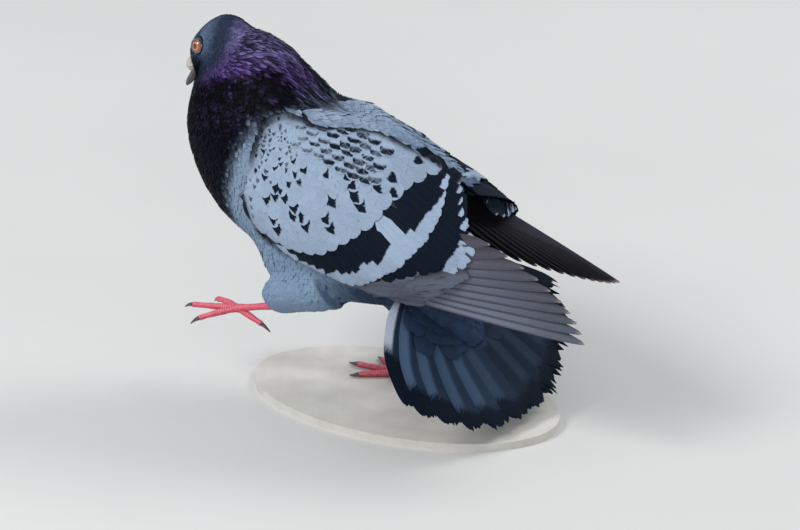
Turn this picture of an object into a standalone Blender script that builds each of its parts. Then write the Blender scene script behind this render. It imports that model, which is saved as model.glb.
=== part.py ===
"""A male pigeon in its display strut, life size, as a still museum model on a thin base.

The bird faces -Y and its left side is +X. It is drawn with the floor under its feet at z = 0 and the tip of the
right middle toe at y = 0, then everything moves together so that the origin is the middle of the underside.
"""

import math

import bmesh
import bpy
import numpy as np
from mathutils import Matrix, Vector

MM = 0.001
GAP = 0.3 * MM  # clearance between pieces that touch

# Driving dimensions
HEAD_CENTRE = (0, -85.3 * MM, 207 * MM)
HEAD_PITCH = math.radians(47)  # below the horizontal
BILL_PITCH = math.radians(50)
BILL_LENGTH = 17 * MM
EYE_RADIUS = 5.2 * MM
EYE_PLACE = (8.4 * MM, -95.2 * MM, 209.3 * MM)
TAIL_CENTRE = (0, 57 * MM, 88 * MM)  # where the lines of the tail feathers meet
TAIL_DROOP = math.radians(45)
TAIL_ROLL = math.radians(6)  # the left side is the lower one
TAIL_RADIUS = 113 * MM
TAIL_ROOT = 20 * MM
TAIL_SPREAD = math.radians(61)  # from the middle line to the outermost shaft
RECTRICES = 12
PRIMARIES = 10
TOE_RADIUS = 2.3 * MM
BALL_RADIUS = 3.3 * MM
CLAW_RADIUS = 1.5 * MM
CLAW_LENGTH = 6 * MM
FOREWING_INSIDE = 10 * MM  # how far the forewing reaches in at the shoulder, and at its thin rear
FOREWING_REAR = 1.6 * MM
COVERT_ROWS = 6
COVERT_STEP = 0.9 * MM  # how far a row of coverts stands over the next
FEATHER_THICKNESS = 1.3 * MM
BASE_SIZE = (62 * MM, 104 * MM)  # half width and half length
BASE_CENTRE_Y = 48 * MM
BASE_THICKNESS = 5 * MM

# Rows of the trunk, from breast to tail root: y, z, half width, rise above and drop below the axis, in mm
TRUNK_ROWS = (
    (-86, 133, 7, 7, 7),
    (-77, 136, 26, 24, 18),
    (-58, 135, 38, 40, 35),
    (-35, 130, 44, 52, 49),
    (-10, 122, 46, 60, 60),
    (18, 110, 46, 65, 55),
    (42, 99, 41, 61, 44),
    (62, 86, 33, 43, 30),
    (78, 69, 25, 19, 15),
    (91, 55, 15, 8, 7),
    (100, 45, 8, 4, 4),
)
# Rows of the neck, from inside the trunk to the skull: y, z, half width, reach to the front and to the back
NECK_ROWS = (
    (-12, 130, 40, 58, 50),
    (-40, 148, 43, 61, 46),
    (-62, 172, 40, 50, 45.5),
    (-73, 192, 30, 32, 41.5),
    (-80, 207, 20, 19, 32),
    (-84, 216, 11, 10, 19),
)
# Rows of the head along its own axis, from nape to bill: place, half width, reach to the throat and to the crown
HEAD_ROWS = (
    (-24, 6, 6, 7),
    (-17, 12, 13, 15),
    (-7, 15, 16, 17.2),
    (2, 14.8, 15.5, 17.5),
    (10, 13, 13.5, 16.5),
    (17, 10, 10.5, 13.8),
    (22, 6.5, 7.5, 8.5),
    (26, 3.5, 4, 4),
)
# Rows of a forewing from front to rear: a point on its lower edge, its middle and its upper edge
LEFT_WING = (
    ((44, -33, 112), (46, -43, 142), (22, -33, 180)),
    ((49, -14, 104), (53, -22, 140), (22, -14, 189)),
    ((51, 12, 97), (55, 10, 140), (16, 8, 190)),
    ((50, 36, 91), (53, 38, 134), (10, 34, 183)),
    ((47, 57, 87), (46, 74, 126), (8, 66, 169)),
    ((43, 72, 87), (37, 104, 118), (8, 98, 150)),
)
RIGHT_WING = (
    ((-44, -33, 117), (-46, -43, 144), (-22, -33, 175)),
    ((-49, -14, 110), (-53, -22, 141), (-22, -14, 181)),
    ((-51, 12, 106), (-55, 10, 142), (-16, 8, 184)),
    ((-51, 38, 103), (-53, 38, 139), (-10, 34, 178)),
    ((-49, 60, 102), (-47, 72, 134), (-6, 66, 162)),
    ((-46, 84, 103), (-40, 106, 126), (-2, 98, 146)),
)
# Roots and tips of the flight feathers of each hand, from the outermost to the innermost
LEFT_PRIMARIES = (
    ((44, 40, 91), (44, 52, 104), (38, 70, 122)),
    ((24, 188, 72), (25, 168, 104), (26, 114, 132)),
)
RIGHT_PRIMARIES = (
    ((-46, 60, 130), (-30, 64, 134), (-8, 70, 134)),
    ((-20, 190, 102), (-10, 174, 104), (0, 130, 112)),
)

COLOURS = {
    "plumage_grey": ((0.36, 0.42, 0.50), 0.75),
    "plumage_neck": ((0.045, 0.03, 0.06), 0.45),
    "plumage_head": ((0.10, 0.13, 0.19), 0.7),
    "wing": ((0.40, 0.46, 0.55), 0.7),
    "flight_feather": ((0.13, 0.12, 0.14), 0.6),
    "tail_feather": ((0.045, 0.06, 0.09), 0.6),
    "bill": ((0.06, 0.06, 0.065), 0.45),
    "cere": ((0.62, 0.60, 0.57), 0.7),
    "eye": ((0.55, 0.13, 0.02), 0.1),
    "leg": ((0.52, 0.10, 0.12), 0.5),
    "claw": ((0.05, 0.045, 0.045), 0.4),
    "base": ((0.62, 0.60, 0.57), 0.6),
}


def material(name):
    """The Principled material of that name, made once."""
    found = bpy.data.materials.get(name)
    if found:
        return found
    made = bpy.data.materials.new(name)
    made.use_nodes = True
    colour, roughness = COLOURS[name]
    shader = made.node_tree.nodes["Principled BSDF"]
    shader.inputs["Base Color"].default_value = (*colour, 1)
    shader.inputs["Roughness"].default_value = roughness
    shader.inputs["Metallic"].default_value = 0
    return made


def add_object(name, mesh, finish=None, sharp=50):
    made = bpy.data.objects.new(name, mesh)
    parts.objects.link(made)
    mesh.shade_smooth()
    mesh.set_sharp_from_angle(angle=math.radians(sharp))
    if finish:
        mesh.materials.clear()
        mesh.materials.append(material(finish))
    return made


def mesh_of(name, points, faces):
    mesh = bpy.data.meshes.new(name)
    mesh.from_pydata([tuple(p) for p in points], [], faces)
    bm = bmesh.new()
    bm.from_mesh(mesh)
    bmesh.ops.recalc_face_normals(bm, faces=bm.faces)
    bm.to_mesh(mesh)
    bm.free()
    return mesh


def through(table, steps):
    """Rows of a table at evenly spaced steps, on a smooth Catmull-Rom curve through them."""
    rows = np.array(table, float)
    ahead = np.concatenate([[2 * rows[0] - rows[1]], rows, [2 * rows[-1] - rows[-2]]])
    found = []
    for place in np.linspace(0, len(rows) - 1, steps):
        i = min(int(place), len(rows) - 2)
        t = place - i
        a, b, c, d = ahead[i : i + 4]
        linear, square, cube = c - a, 2 * a - 5 * b + 4 * c - d, 3 * b - a - 3 * c + d
        found.append(0.5 * (2 * b + linear * t + square * t**2 + cube * t**3))
    return np.array(found)


def tube(rings):
    """Points and faces of a closed body through rings of the same number of points."""
    count, around = len(rings), len(rings[0])
    points = [p for ring in rings for p in ring]
    faces = []
    for i in range(count - 1):
        here, there = i * around, (i + 1) * around
        for j in range(around):
            k = (j + 1) % around
            faces.append((here + j, here + k, there + k, there + j))
    for ring, start in ((rings[0], 0), (rings[-1], (count - 1) * around)):
        points.append(np.mean(ring, axis=0))
        faces += [(start + j, start + (j + 1) % around, len(points) - 1) for j in range(around)]
    return points, faces


def body_rings(rows, steps, around):
    """Rings square to a line in the middle plane. A row is y, z, half width and the two reaches from the line."""
    rows = through(rows, steps) * MM
    along = np.gradient(rows[:, :2], axis=0)
    along /= np.linalg.norm(along, axis=1)[:, None]
    turn = np.linspace(0, 2 * math.pi, around, endpoint=False)
    rings = []
    for (y, z, width, first, second), (dy, dz) in zip(rows, along):
        reach = np.where(np.sin(turn) > 0, first, second) * np.sin(turn)
        rings.append(np.stack([width * np.cos(turn), y - dz * reach, z + dy * reach], axis=1))
    return rings


def head_rows():
    """The head's rows with their places along its axis turned into y and z."""
    _, y, z = HEAD_CENTRE
    dy, dz = -math.cos(HEAD_PITCH), -math.sin(HEAD_PITCH)
    return [(y / MM + place * dy, z / MM + place * dz, *reach) for place, *reach in HEAD_ROWS]


def evaluated_mesh(holder):
    """The mesh of an object with its modifiers applied. The object is removed."""
    graph = bpy.context.evaluated_depsgraph_get()
    mesh = bpy.data.meshes.new_from_object(holder.evaluated_get(graph))
    bpy.data.objects.remove(holder)
    return mesh


def largest_piece(mesh):
    """The same mesh without the small pieces that a cut leaves over."""
    bm = bmesh.new()
    bm.from_mesh(mesh)
    left, pieces = set(bm.verts), []
    while left:
        piece, front = set(), [left.pop()]
        while front:
            vertex = front.pop()
            piece.add(vertex)
            near = [e.other_vert(vertex) for e in vertex.link_edges]
            front += [v for v in near if v in left]
            left.difference_update(near)
        pieces.append(piece)
    pieces.sort(key=len)
    bmesh.ops.delete(bm, geom=[v for piece in pieces[:-1] for v in piece], context="VERTS")
    bm.to_mesh(mesh)
    bm.free()
    return mesh


def boolean(first, second, operation):
    """The mesh of first joined with, or cut by, second. Both are meshes."""
    holder = bpy.data.objects.new("holder", first)
    other = bpy.data.objects.new("other", second)
    for one in (holder, other):
        parts.objects.link(one)
    modifier = holder.modifiers.new("boolean", "BOOLEAN")
    modifier.operation = operation
    modifier.object = other
    bpy.context.view_layer.update()
    mesh = evaluated_mesh(holder)
    bpy.data.objects.remove(other)
    return largest_piece(mesh)


def grown(mesh, by=GAP):
    """A copy of a closed mesh, its surface moved out along its normals."""
    bm = bmesh.new()
    bm.from_mesh(mesh)
    bm.normal_update()
    moved = [(v, v.co + v.normal * by * min(v.calc_shell_factor(), 1.5)) for v in bm.verts]
    for v, place in moved:
        v.co = place
    made = bpy.data.meshes.new("grown")
    bm.to_mesh(made)
    bm.free()
    return made


def keep_side(mesh, point, normal):
    """The part of a closed mesh on the side of a plane that its normal points to, closed again."""
    bm = bmesh.new()
    bm.from_mesh(mesh)
    everything = bm.verts[:] + bm.edges[:] + bm.faces[:]
    cut = bmesh.ops.bisect_plane(bm, geom=everything, plane_co=point, plane_no=normal, clear_inner=True)
    rim = [e for e in cut["geom_cut"] if isinstance(e, bmesh.types.BMEdge)]
    bmesh.ops.edgeloop_fill(bm, edges=rim)
    bmesh.ops.triangulate(bm, faces=bm.faces)
    bmesh.ops.dissolve_degenerate(bm, dist=0.02 * MM, edges=bm.edges)
    bmesh.ops.triangulate(bm, faces=bm.faces)
    made = bpy.data.meshes.new("side")
    bm.to_mesh(made)
    bm.free()
    return made


def flesh():
    """Head, neck and trunk as one soft closed mesh."""
    points, faces = [], []
    for rows, steps, around in ((TRUNK_ROWS, 26, 32), (NECK_ROWS, 16, 32), (head_rows(), 14, 24)):
        more, cells = tube(body_rings(rows, steps, around))
        faces += [tuple(i + len(points) for i in cell) for cell in cells]
        points += more
    holder = bpy.data.objects.new("flesh", mesh_of("flesh", points, faces))
    parts.objects.link(holder)
    remesh = holder.modifiers.new("one skin", "REMESH")
    remesh.mode = "VOXEL"
    remesh.voxel_size = 2.2 * MM
    smooth = holder.modifiers.new("soften", "SMOOTH")
    smooth.factor = 0.5
    smooth.iterations = 12
    fewer = holder.modifiers.new("fewer faces", "DECIMATE")
    fewer.ratio = 0.034
    bpy.context.view_layer.update()
    return evaluated_mesh(holder)


def split_body(whole):
    """Head, neck and trunk, parted by two thin flat cuts."""
    nape = Vector((0, -58, 224)) * MM
    throat = Vector((0, -97, 187)) * MM
    shoulder = Vector((0, -17, 191)) * MM
    crop = Vector((0, -88, 111)) * MM

    def towards_head(top, bottom):
        return (bottom - top).cross(Vector((1, 0, 0))).normalized()

    upper, lower = towards_head(nape, throat), towards_head(shoulder, crop)
    head = keep_side(whole, nape + upper * GAP / 2, upper)
    neck = keep_side(keep_side(whole, nape - upper * GAP / 2, -upper), shoulder + lower * GAP / 2, lower)
    trunk = keep_side(whole, shoulder - lower * GAP / 2, -lower)
    return head, neck, trunk


def ball(centre, radius, across=16, stretch=(1, 1, 1)):
    bm = bmesh.new()
    place = Matrix.Translation(centre) @ Matrix.Diagonal((*stretch, 1))
    bmesh.ops.create_uvsphere(bm, u_segments=across, v_segments=across // 2, radius=radius, matrix=place)
    mesh = bpy.data.meshes.new("ball")
    bm.to_mesh(mesh)
    bm.free()
    return mesh


def mirrored(place):
    return Vector((-place[0], place[1], place[2]))


def make_head(head):
    """The head with its two sockets, and the eyes in them."""
    for side, place in (("left", Vector(EYE_PLACE)), ("right", mirrored(EYE_PLACE))):
        head = boolean(head, ball(place, EYE_RADIUS + GAP, 14), "DIFFERENCE")
        add_object(f"eye_{side}", ball(place, EYE_RADIUS, 14), "eye")
    add_object("head", head, "plumage_head")


def bill_half(rows, length, droop):
    """A half of the bill, flat where the two meet. A row is a share of the length, a half width and a depth."""
    start = Vector(HEAD_CENTRE) + axis(HEAD_PITCH) * 17.5 * MM
    rings = []
    turn = np.linspace(0, math.pi, 9)
    for share, width, depth in through(rows, 9):
        pitch = BILL_PITCH + droop * share**2
        middle = start + (axis(BILL_PITCH) * share - up_from(BILL_PITCH) * droop * share**2 * 0.5) * length
        side = up_from(pitch)
        flat = math.copysign(GAP / 2, depth)
        across = Vector((1, 0, 0)) * width * MM
        rings.append([middle + across * math.cos(a) + side * (flat + depth * MM * math.sin(a)) for a in turn])
    return tube([[np.array(p) for p in ring] for ring in rings])


def axis(pitch):
    """Forwards, turned down by a pitch."""
    return Vector((0, -math.cos(pitch), -math.sin(pitch)))


def up_from(pitch):
    """Square to axis(pitch), on the crown's side."""
    return Vector((0, -math.sin(pitch), math.cos(pitch)))


def make_bill(body):
    """Both halves of the bill and the soft white cere over its root."""
    upper_rows = ((0, 4.2, 4.2), (0.3, 3.6, 3.9), (0.6, 2.6, 3.0), (0.85, 1.8, 2.7), (1.0, 0.9, 1.6))
    lower_rows = ((0, 3.9, -3.2), (0.4, 3.1, -2.5), (0.75, 2.1, -1.7), (1.0, 1.0, -0.8))
    length = BILL_LENGTH + 5 * MM  # the root lies inside the face
    upper = mesh_of("upper", *bill_half(upper_rows, length, 0.22))
    lower = mesh_of("lower", *bill_half(lower_rows, length * 0.93, 0.18))
    upper = boolean(upper, body, "DIFFERENCE")
    lower = boolean(lower, body, "DIFFERENCE")
    middle = Vector(HEAD_CENTRE) + axis(HEAD_PITCH) * 24.0 * MM + up_from(BILL_PITCH) * 4.6 * MM
    lobes = [ball(middle + Vector((x * MM, 0, 0)), 3.3 * MM, 12, (0.9, 1.0, 1.15)) for x in (2.0, -2.0)]
    cere = boolean(lobes[0], lobes[1], "UNION")
    cere = boolean(boolean(cere, body, "DIFFERENCE"), grown(upper), "DIFFERENCE")
    add_object("bill_upper", upper, "bill")
    add_object("bill_lower", lower, "bill")
    add_object("cere", cere, "cere")


def plate(outer, inner):
    """A closed body between two grids of points with the same rows and columns."""
    rows, columns = len(outer), len(outer[0])
    points = [p for grid in (outer, inner) for row in grid for p in row]

    def at(grid, i, j):
        return (grid * rows + i) * columns + j

    faces = []
    for i in range(rows - 1):
        for j in range(columns - 1):
            faces.append((at(0, i, j), at(0, i, j + 1), at(0, i + 1, j + 1), at(0, i + 1, j)))
            faces.append((at(1, i, j), at(1, i + 1, j), at(1, i + 1, j + 1), at(1, i, j + 1)))
    rim = [(0, j) for j in range(columns)] + [(i, columns - 1) for i in range(1, rows)]
    rim += [(rows - 1, j) for j in range(columns - 2, -1, -1)] + [(i, 0) for i in range(rows - 2, 0, -1)]
    for k, here in enumerate(rim):
        there = rim[(k + 1) % len(rim)]
        faces.append((at(0, *here), at(0, *there), at(1, *there), at(1, *here)))
    return points, faces


def normals_of(grid, outward):
    """Unit normals of a grid of points, on the side that outward gives."""
    down, across = np.gradient(grid, axis=0), np.gradient(grid, axis=1)
    found = np.cross(down, across)
    found /= np.linalg.norm(found, axis=2)[..., None]
    return found * np.sign((found * outward).sum(axis=2, keepdims=True))


def wing_grid(rows, along, across):
    """The outer surface of a forewing as a grid, from its rows of three points."""
    lower, middle, upper = (through([row[k] for row in rows], along) * MM for k in range(3))
    v = np.linspace(0, 1, across)[None, :, None]
    return (
        lower[:, None] * (1 - v) * (1 - 2 * v) + middle[:, None] * 4 * v * (1 - v) + upper[:, None] * v * (2 * v - 1)
    )


def make_wing(side, rows, body):
    """The forewing with its coverts in steps: a shield over the flank, thick at the shoulder and thin at its rear."""
    along, across = 17, 7
    sign = 1 if side == "left" else -1
    grid = wing_grid(rows, along, across)
    outward = np.array([sign, 0, 0.6])
    normals = normals_of(grid, outward)
    u = np.linspace(0, 1, along)[:, None, None]
    steps = COVERT_STEP * ((u * COVERT_ROWS) % 1)
    fuller = np.clip((0.92 - u) / 0.25, 0, 1) * np.clip(u / 0.06, 0.45, 1)
    inside = FOREWING_REAR + (FOREWING_INSIDE - FOREWING_REAR) * fuller
    mesh = mesh_of("wing", *plate(grid + normals * steps, grid - normals * inside))
    mesh = boolean(mesh, body, "DIFFERENCE")
    add_object(f"wing_{side}", mesh, "wing", 30)
    return mesh


def feather_fan(place, count, columns, rows, thickness, rise, outward, scallop):
    """A blade of overlapping feathers: each one rises across its width and has a round tip of its own.

    place gives a point on the blade from the share across it and the share from root to tip.
    """
    grid, lift = [], []
    for k in range(count):
        for c in range(columns):
            across = c / (columns - 1)
            v = (k + 0.004 + 0.992 * across) / count
            end = 1 - scallop * abs(2 * across - 1) ** 2.5
            grid.append([place(v, end * i / (rows - 1)) for i in range(rows)])
            lift.append(rise * (1 - across))
    grid = np.array(grid)
    normals = normals_of(grid, outward)
    lifted = grid + normals * np.array(lift)[:, None, None]
    return plate(lifted, lifted - normals * thickness)


def curve_point(points):
    """A function giving the point at v from 0 to 1 on the smooth curve through three points."""
    a, b, c = (np.array(p, float) * MM for p in points)
    return lambda v: a * (1 - v) * (1 - 2 * v) + b * 4 * v * (1 - v) + c * v * (2 * v - 1)


def make_primaries(side, ends, outward, wing, body):
    """The folded flight feathers of a hand, which come out from under the forewing."""
    roots, tips = (curve_point(end) for end in ends)

    def place(v, s):
        return roots(v) * (1 - s) + tips(v) * s

    points = feather_fan(place, PRIMARIES, 3, 4, FEATHER_THICKNESS, COVERT_STEP, np.array(outward), 0.05)
    mesh = boolean(mesh_of("primaries", *points), body, "DIFFERENCE")
    mesh = boolean(mesh, grown(wing), "DIFFERENCE")
    add_object(f"primaries_{side}", mesh, "flight_feather", 30)


def make_tail(body):
    """Twelve tail feathers fanned wide, drooping to the floor, as one plate with a step at each feather."""
    centre = np.array(TAIL_CENTRE)
    back = np.array([0, math.cos(TAIL_DROOP), -math.sin(TAIL_DROOP)])
    level = np.array([1.0, 0, 0])
    top = np.array([0, math.sin(TAIL_DROOP), math.cos(TAIL_DROOP)])
    left = level * math.cos(TAIL_ROLL) - top * math.sin(TAIL_ROLL)
    edge = TAIL_SPREAD * RECTRICES / (RECTRICES - 1)

    def place(v, s):
        side = 1 - 2 * v
        angle = edge * side * (1.2 - 0.27 * s)  # the outer feathers bend inwards to their tips
        reach = TAIL_ROOT + (TAIL_RADIUS * (1 - 0.09 * side**2) - TAIL_ROOT) * s
        return centre + (back * math.cos(angle) + left * math.sin(angle)) * reach

    points = feather_fan(place, RECTRICES, 4, 4, FEATHER_THICKNESS, COVERT_STEP, top, 0.05)
    mesh = boolean(mesh_of("tail", *points), body, "DIFFERENCE")
    add_object("tail", mesh, "tail_feather", 30)


def limb(places, radii, around=10):
    """A closed round body along a line of places, with its radius at each."""
    places = np.array(places, float)
    along = np.gradient(places, axis=0)
    along /= np.linalg.norm(along, axis=1)[:, None]
    first = np.cross(along, np.array([1.0, 0.2, 0.1]))
    first /= np.linalg.norm(first, axis=1)[:, None]
    second = np.cross(along, first)
    turn = np.linspace(0, 2 * math.pi, around, endpoint=False)
    return tube([
        place + radius * (np.cos(turn)[:, None] * a + np.sin(turn)[:, None] * b)
        for place, radius, a, b in zip(places, radii, first, second)
    ])


# Legs: the top of the feathered thigh, the knee and the heel, then the ball of the foot, and the lines of the toes.
# A toe is a turn from straight ahead about the foot's normal, how steeply it points down, its length and its bend
LEGS = {
    "left": {
        "line": ((26, 8, 80), (27, -10, 70), (23, -33, 51.5)),
        "ball": (22, -61, 43),
        "forward": (0.0, -1.0, -0.12),
        "normal": (0.25, -0.1, 1.0),
        "toes": {
            "hallux": (172, 26, 18, 0.1),
            "inner": (28, 0, 25, 0.2),
            "middle": (2, 0, 32, 0),
            "outer": (-30, 0, 26, 0.5),
        },
    },
    "right": {
        "line": ((-22, 10, 78), (-23, 26, 62), (-22, 46, 34)),
        "ball": (-22, 30, 2.1),
        "forward": (0.0, -1.0, 0.0),
        "normal": (0.0, 0.0, 1.0),
        "toes": {
            "hallux": (178, 0, 17, 0.06),
            "inner": (-34, 0, 24, 0.06),
            "middle": (0, 0, 30, 0.06),
            "outer": (32, 0, 25, 0.06),
        },
    },
}
THIGH_RADII = (20, 18, 11, 6, 3.4)
TARSUS_RADII = (3.0, 2.3, 2.0, 2.1, 2.8)


def make_foot(side):
    """A foot with its four toes, their swollen joints and a claw on each. Gives back the pieces it is joined from."""
    leg = LEGS[side]
    middle = Vector(leg["ball"]) * MM
    ahead = Vector(leg["forward"]).normalized()
    normal = Vector(leg["normal"])
    normal = (normal - ahead * normal.dot(ahead)).normalized()
    pieces = [ball(middle, BALL_RADIUS, 10, (1, 1, 0.8))]
    share = np.linspace(0, 1, 6)
    for name, (turn, down, length, bend) in leg["toes"].items():
        line = Matrix.Rotation(math.radians(turn), 3, normal) @ ahead
        line = line * math.cos(math.radians(down)) - normal * math.sin(math.radians(down))
        places = [middle + (line * t - normal * 0.35 * bend * t * t) * length * MM for t in share]
        radii = TOE_RADIUS * (1 - 0.3 * share) * (1 + 0.1 * np.cos(share * 6 * math.pi))
        pieces.append(mesh_of("toe", *limb(places, radii, 8)))
        make_claw(f"claw_{side}_{name}", places[-1], (places[-1] - places[-2]).normalized(), normal)
    foot = pieces[0]
    for toe in pieces[1:]:
        foot = boolean(foot, toe, "UNION")
    add_object(f"foot_{side}", above_floor(foot), "leg")
    return pieces


def make_claw(name, tip, onward, normal):
    """A curved claw that starts just past the tip of a toe and stays above the floor."""
    share = np.linspace(0, 1, 5)
    places = [tip + onward * (GAP + CLAW_LENGTH * t) - normal * 0.35 * t * t * CLAW_LENGTH for t in share]
    places = [Vector((x, y, max(z, 1.0 * MM))) for x, y, z in places]
    claw = mesh_of("claw", *limb(places, CLAW_RADIUS * (1 - 0.75 * share), 6))
    add_object(name, above_floor(claw), "claw")


def above_floor(mesh):
    """The mesh with whatever is under the floor cut off, which leaves a small flat."""
    if min(v.co.z for v in mesh.vertices) > 0:
        return mesh
    return keep_side(mesh, Vector((0, 0, 0)), Vector((0, 0, 1)))


def make_leg(side, body):
    """The feathered thigh, the scaly shank and the foot."""
    leg = LEGS[side]
    places = through(leg["line"], 8) * MM
    radii = np.interp(np.linspace(0, 1, 8), (0, 0.35, 0.75, 0.97, 1), THIGH_RADII) * MM
    thigh = boolean(mesh_of("thigh", *limb(places, radii, 16)), body, "DIFFERENCE")
    add_object(f"thigh_{side}", thigh, "plumage_grey")
    heel, middle = Vector(places[-1]), Vector(leg["ball"]) * MM
    start = heel + (middle - heel).normalized() * (GAP - 1.0 * MM)
    places = [start + (middle - start) * t for t in np.linspace(0, 1, len(TARSUS_RADII))]
    tarsus = mesh_of("tarsus", *limb(places, np.array(TARSUS_RADII) * MM, 10))
    for neighbour in (thigh, *make_foot(side)):
        tarsus = boolean(tarsus, grown(neighbour), "DIFFERENCE")
    add_object(f"tarsus_{side}", tarsus, "leg")


def make_base():
    """The thin oval plate that the right foot is fixed to."""
    bm = bmesh.new()
    place = Matrix.Translation((0, BASE_CENTRE_Y, -GAP - BASE_THICKNESS / 2))
    size = Matrix.Diagonal((BASE_SIZE[0], BASE_SIZE[1], 1, 1))
    bmesh.ops.create_cone(
        bm, cap_ends=True, segments=64, radius1=1, radius2=1, depth=BASE_THICKNESS, matrix=place @ size
    )
    mesh = bpy.data.meshes.new("base")
    bm.to_mesh(mesh)
    bm.free()
    add_object("stand_base", mesh, "base")


def settle():
    """Moves everything together, so that the origin is the middle of the underside."""
    low, high = Vector((9, 9, 9)), Vector((-9, -9, -9))
    for one in parts.objects:
        for vertex in one.data.vertices:
            low = Vector(map(min, low, vertex.co))
            high = Vector(map(max, high, vertex.co))
    root = bpy.data.objects.new("pigeon", None)
    bpy.context.scene.collection.objects.link(root)
    for one in parts.objects:
        one.parent = root
    root.location = (-(low.x + high.x) / 2, -(low.y + high.y) / 2, -low.z)


for old in list(bpy.data.objects):
    bpy.data.objects.remove(old)
parts = bpy.data.collections.new("pigeon_parts")
bpy.context.scene.collection.children.link(parts)

body_mesh = flesh()
around_body = grown(body_mesh)
head_mesh, neck_mesh, trunk_mesh = split_body(body_mesh)
add_object("neck", neck_mesh, "plumage_neck")
add_object("trunk", trunk_mesh, "plumage_grey")
make_head(head_mesh)
make_bill(around_body)
for wing_side, wing_rows, hand_ends, hand_faces in (
    ("left", LEFT_WING, LEFT_PRIMARIES, (1.0, 0, 0.3)),
    ("right", RIGHT_WING, RIGHT_PRIMARIES, (-0.2, 0, 1.0)),
):
    wing_mesh = make_wing(wing_side, wing_rows, around_body)
    make_primaries(wing_side, hand_ends, hand_faces, wing_mesh, around_body)
    make_leg(wing_side, around_body)
make_tail(around_body)
make_base()
settle()
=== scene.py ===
"""A male feral pigeon in display: one skin under laid feathers, with horn, scaly feet, eyes and a plain base."""

import math

import bpy
import numpy as np
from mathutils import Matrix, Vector, kdtree
from mathutils.bvhtree import BVHTree


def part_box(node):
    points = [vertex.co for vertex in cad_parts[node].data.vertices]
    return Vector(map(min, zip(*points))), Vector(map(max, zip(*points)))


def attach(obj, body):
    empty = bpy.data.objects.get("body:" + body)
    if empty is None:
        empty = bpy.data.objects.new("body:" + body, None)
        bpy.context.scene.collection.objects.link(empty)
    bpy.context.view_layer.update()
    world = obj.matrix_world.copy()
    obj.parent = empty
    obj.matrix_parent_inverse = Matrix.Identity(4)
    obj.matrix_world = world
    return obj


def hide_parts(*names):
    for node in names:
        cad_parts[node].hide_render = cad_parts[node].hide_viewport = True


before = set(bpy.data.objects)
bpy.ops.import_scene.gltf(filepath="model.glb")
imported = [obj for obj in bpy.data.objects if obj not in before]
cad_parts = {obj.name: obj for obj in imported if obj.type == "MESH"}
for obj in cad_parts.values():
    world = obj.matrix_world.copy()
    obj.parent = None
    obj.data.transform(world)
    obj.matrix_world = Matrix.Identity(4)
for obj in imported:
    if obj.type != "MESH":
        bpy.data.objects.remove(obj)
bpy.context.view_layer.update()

MM = 0.001
RANDOM = np.random.default_rng(7)
# One value a feather, spread over the rows and columns of its grid.
EACH = (slice(None), None, None)
# The mark of a place without any dark marking. Above 0 a mark is dark.
PLAIN = -9.0

# The size of the cells that the flesh is meshed in, and the small horny and scaly parts, in millimetres.
FLESH_VOXEL, BILL_VOXEL, CERE_VOXEL, FOOT_VOXEL, CLAW_VOXEL = 1.5, 0.3, 0.28, 0.36, 0.22

# The bird's own frame, in millimetres: it faces -Y, its left is +X, and its feet stand at z = 0.
# The base gives its place in the model: the base's middle lies 48 mm behind the bird's origin.
BASE_BEHIND = 48.0
BASE_TOP = -0.3
base_low, base_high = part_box("stand_base")
SHIFT = np.array([
    (base_low.x + base_high.x) / 2,
    (base_low.y + base_high.y) / 2 - BASE_BEHIND * MM,
    base_high.z - BASE_TOP * MM,
])

FLESH = ("trunk", "neck", "head", "thigh_left", "thigh_right", "wing_left", "wing_right")
BILL_ROOT = np.array([0, -97.2, 194.2])
HEAD_CENTRE = np.array([0, -85.3, 207.0])
EYE_PLACE = np.array([8.4, -95.2, 209.3])
EYE_RADIUS = 5.2
EYE_OPENING = 4.3
# Each leg inside its thigh: hip, knee and heel.
LEG_LINES = {
    "left": np.array([(26, 8, 80), (27, -10, 70), (23, -33, 51.5)], float),
    "right": np.array([(-22, 10, 78), (-23, 26, 62), (-22, 46, 34)], float),
}


# ---- Small sums ----

def unit(vectors):
    """Vectors of length one."""
    return vectors / np.maximum(np.linalg.norm(vectors, axis=-1, keepdims=True), 1e-9)


def ramp(value, low, high):
    """0 before low, 1 after high, and smooth between them. low may be the greater."""
    share = np.clip((value - low) / (high - low), 0, 1)
    return share * share * (3 - 2 * share)


def bell(value, middle, width):
    """1 at the middle, falling away to 0.37 at a width from it and to nothing beyond."""
    return np.exp(-(((value - middle) / width) ** 2))


def mix(a, b, share):
    """From a to b, row by row."""
    return a + (b - a) * np.asarray(share)[..., None]


def colour(*display):
    """A colour as seen on a display, 0 to 255, as linear light."""
    value = np.array(display) / 255
    return np.where(value < 0.04045, value / 12.92, ((value + 0.055) / 1.055) ** 2.4)


def blotches(points, size, seed):
    """A smooth, even pattern from -1 to 1 over the points, with spots about size across."""
    total = 0
    for k in range(3):
        turn = np.random.default_rng(seed + k).normal(size=(3, 3))
        total = total + np.prod(np.sin(points @ unit(turn) * (3.1 / size) + k * 2.1), axis=-1)
    return np.clip(total * 0.9, -1, 1)


def to_model(points):
    """From the bird's frame, in millimetres, to the model's, in metres."""
    return points * MM + SHIFT


# ---- Surfaces ----

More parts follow.
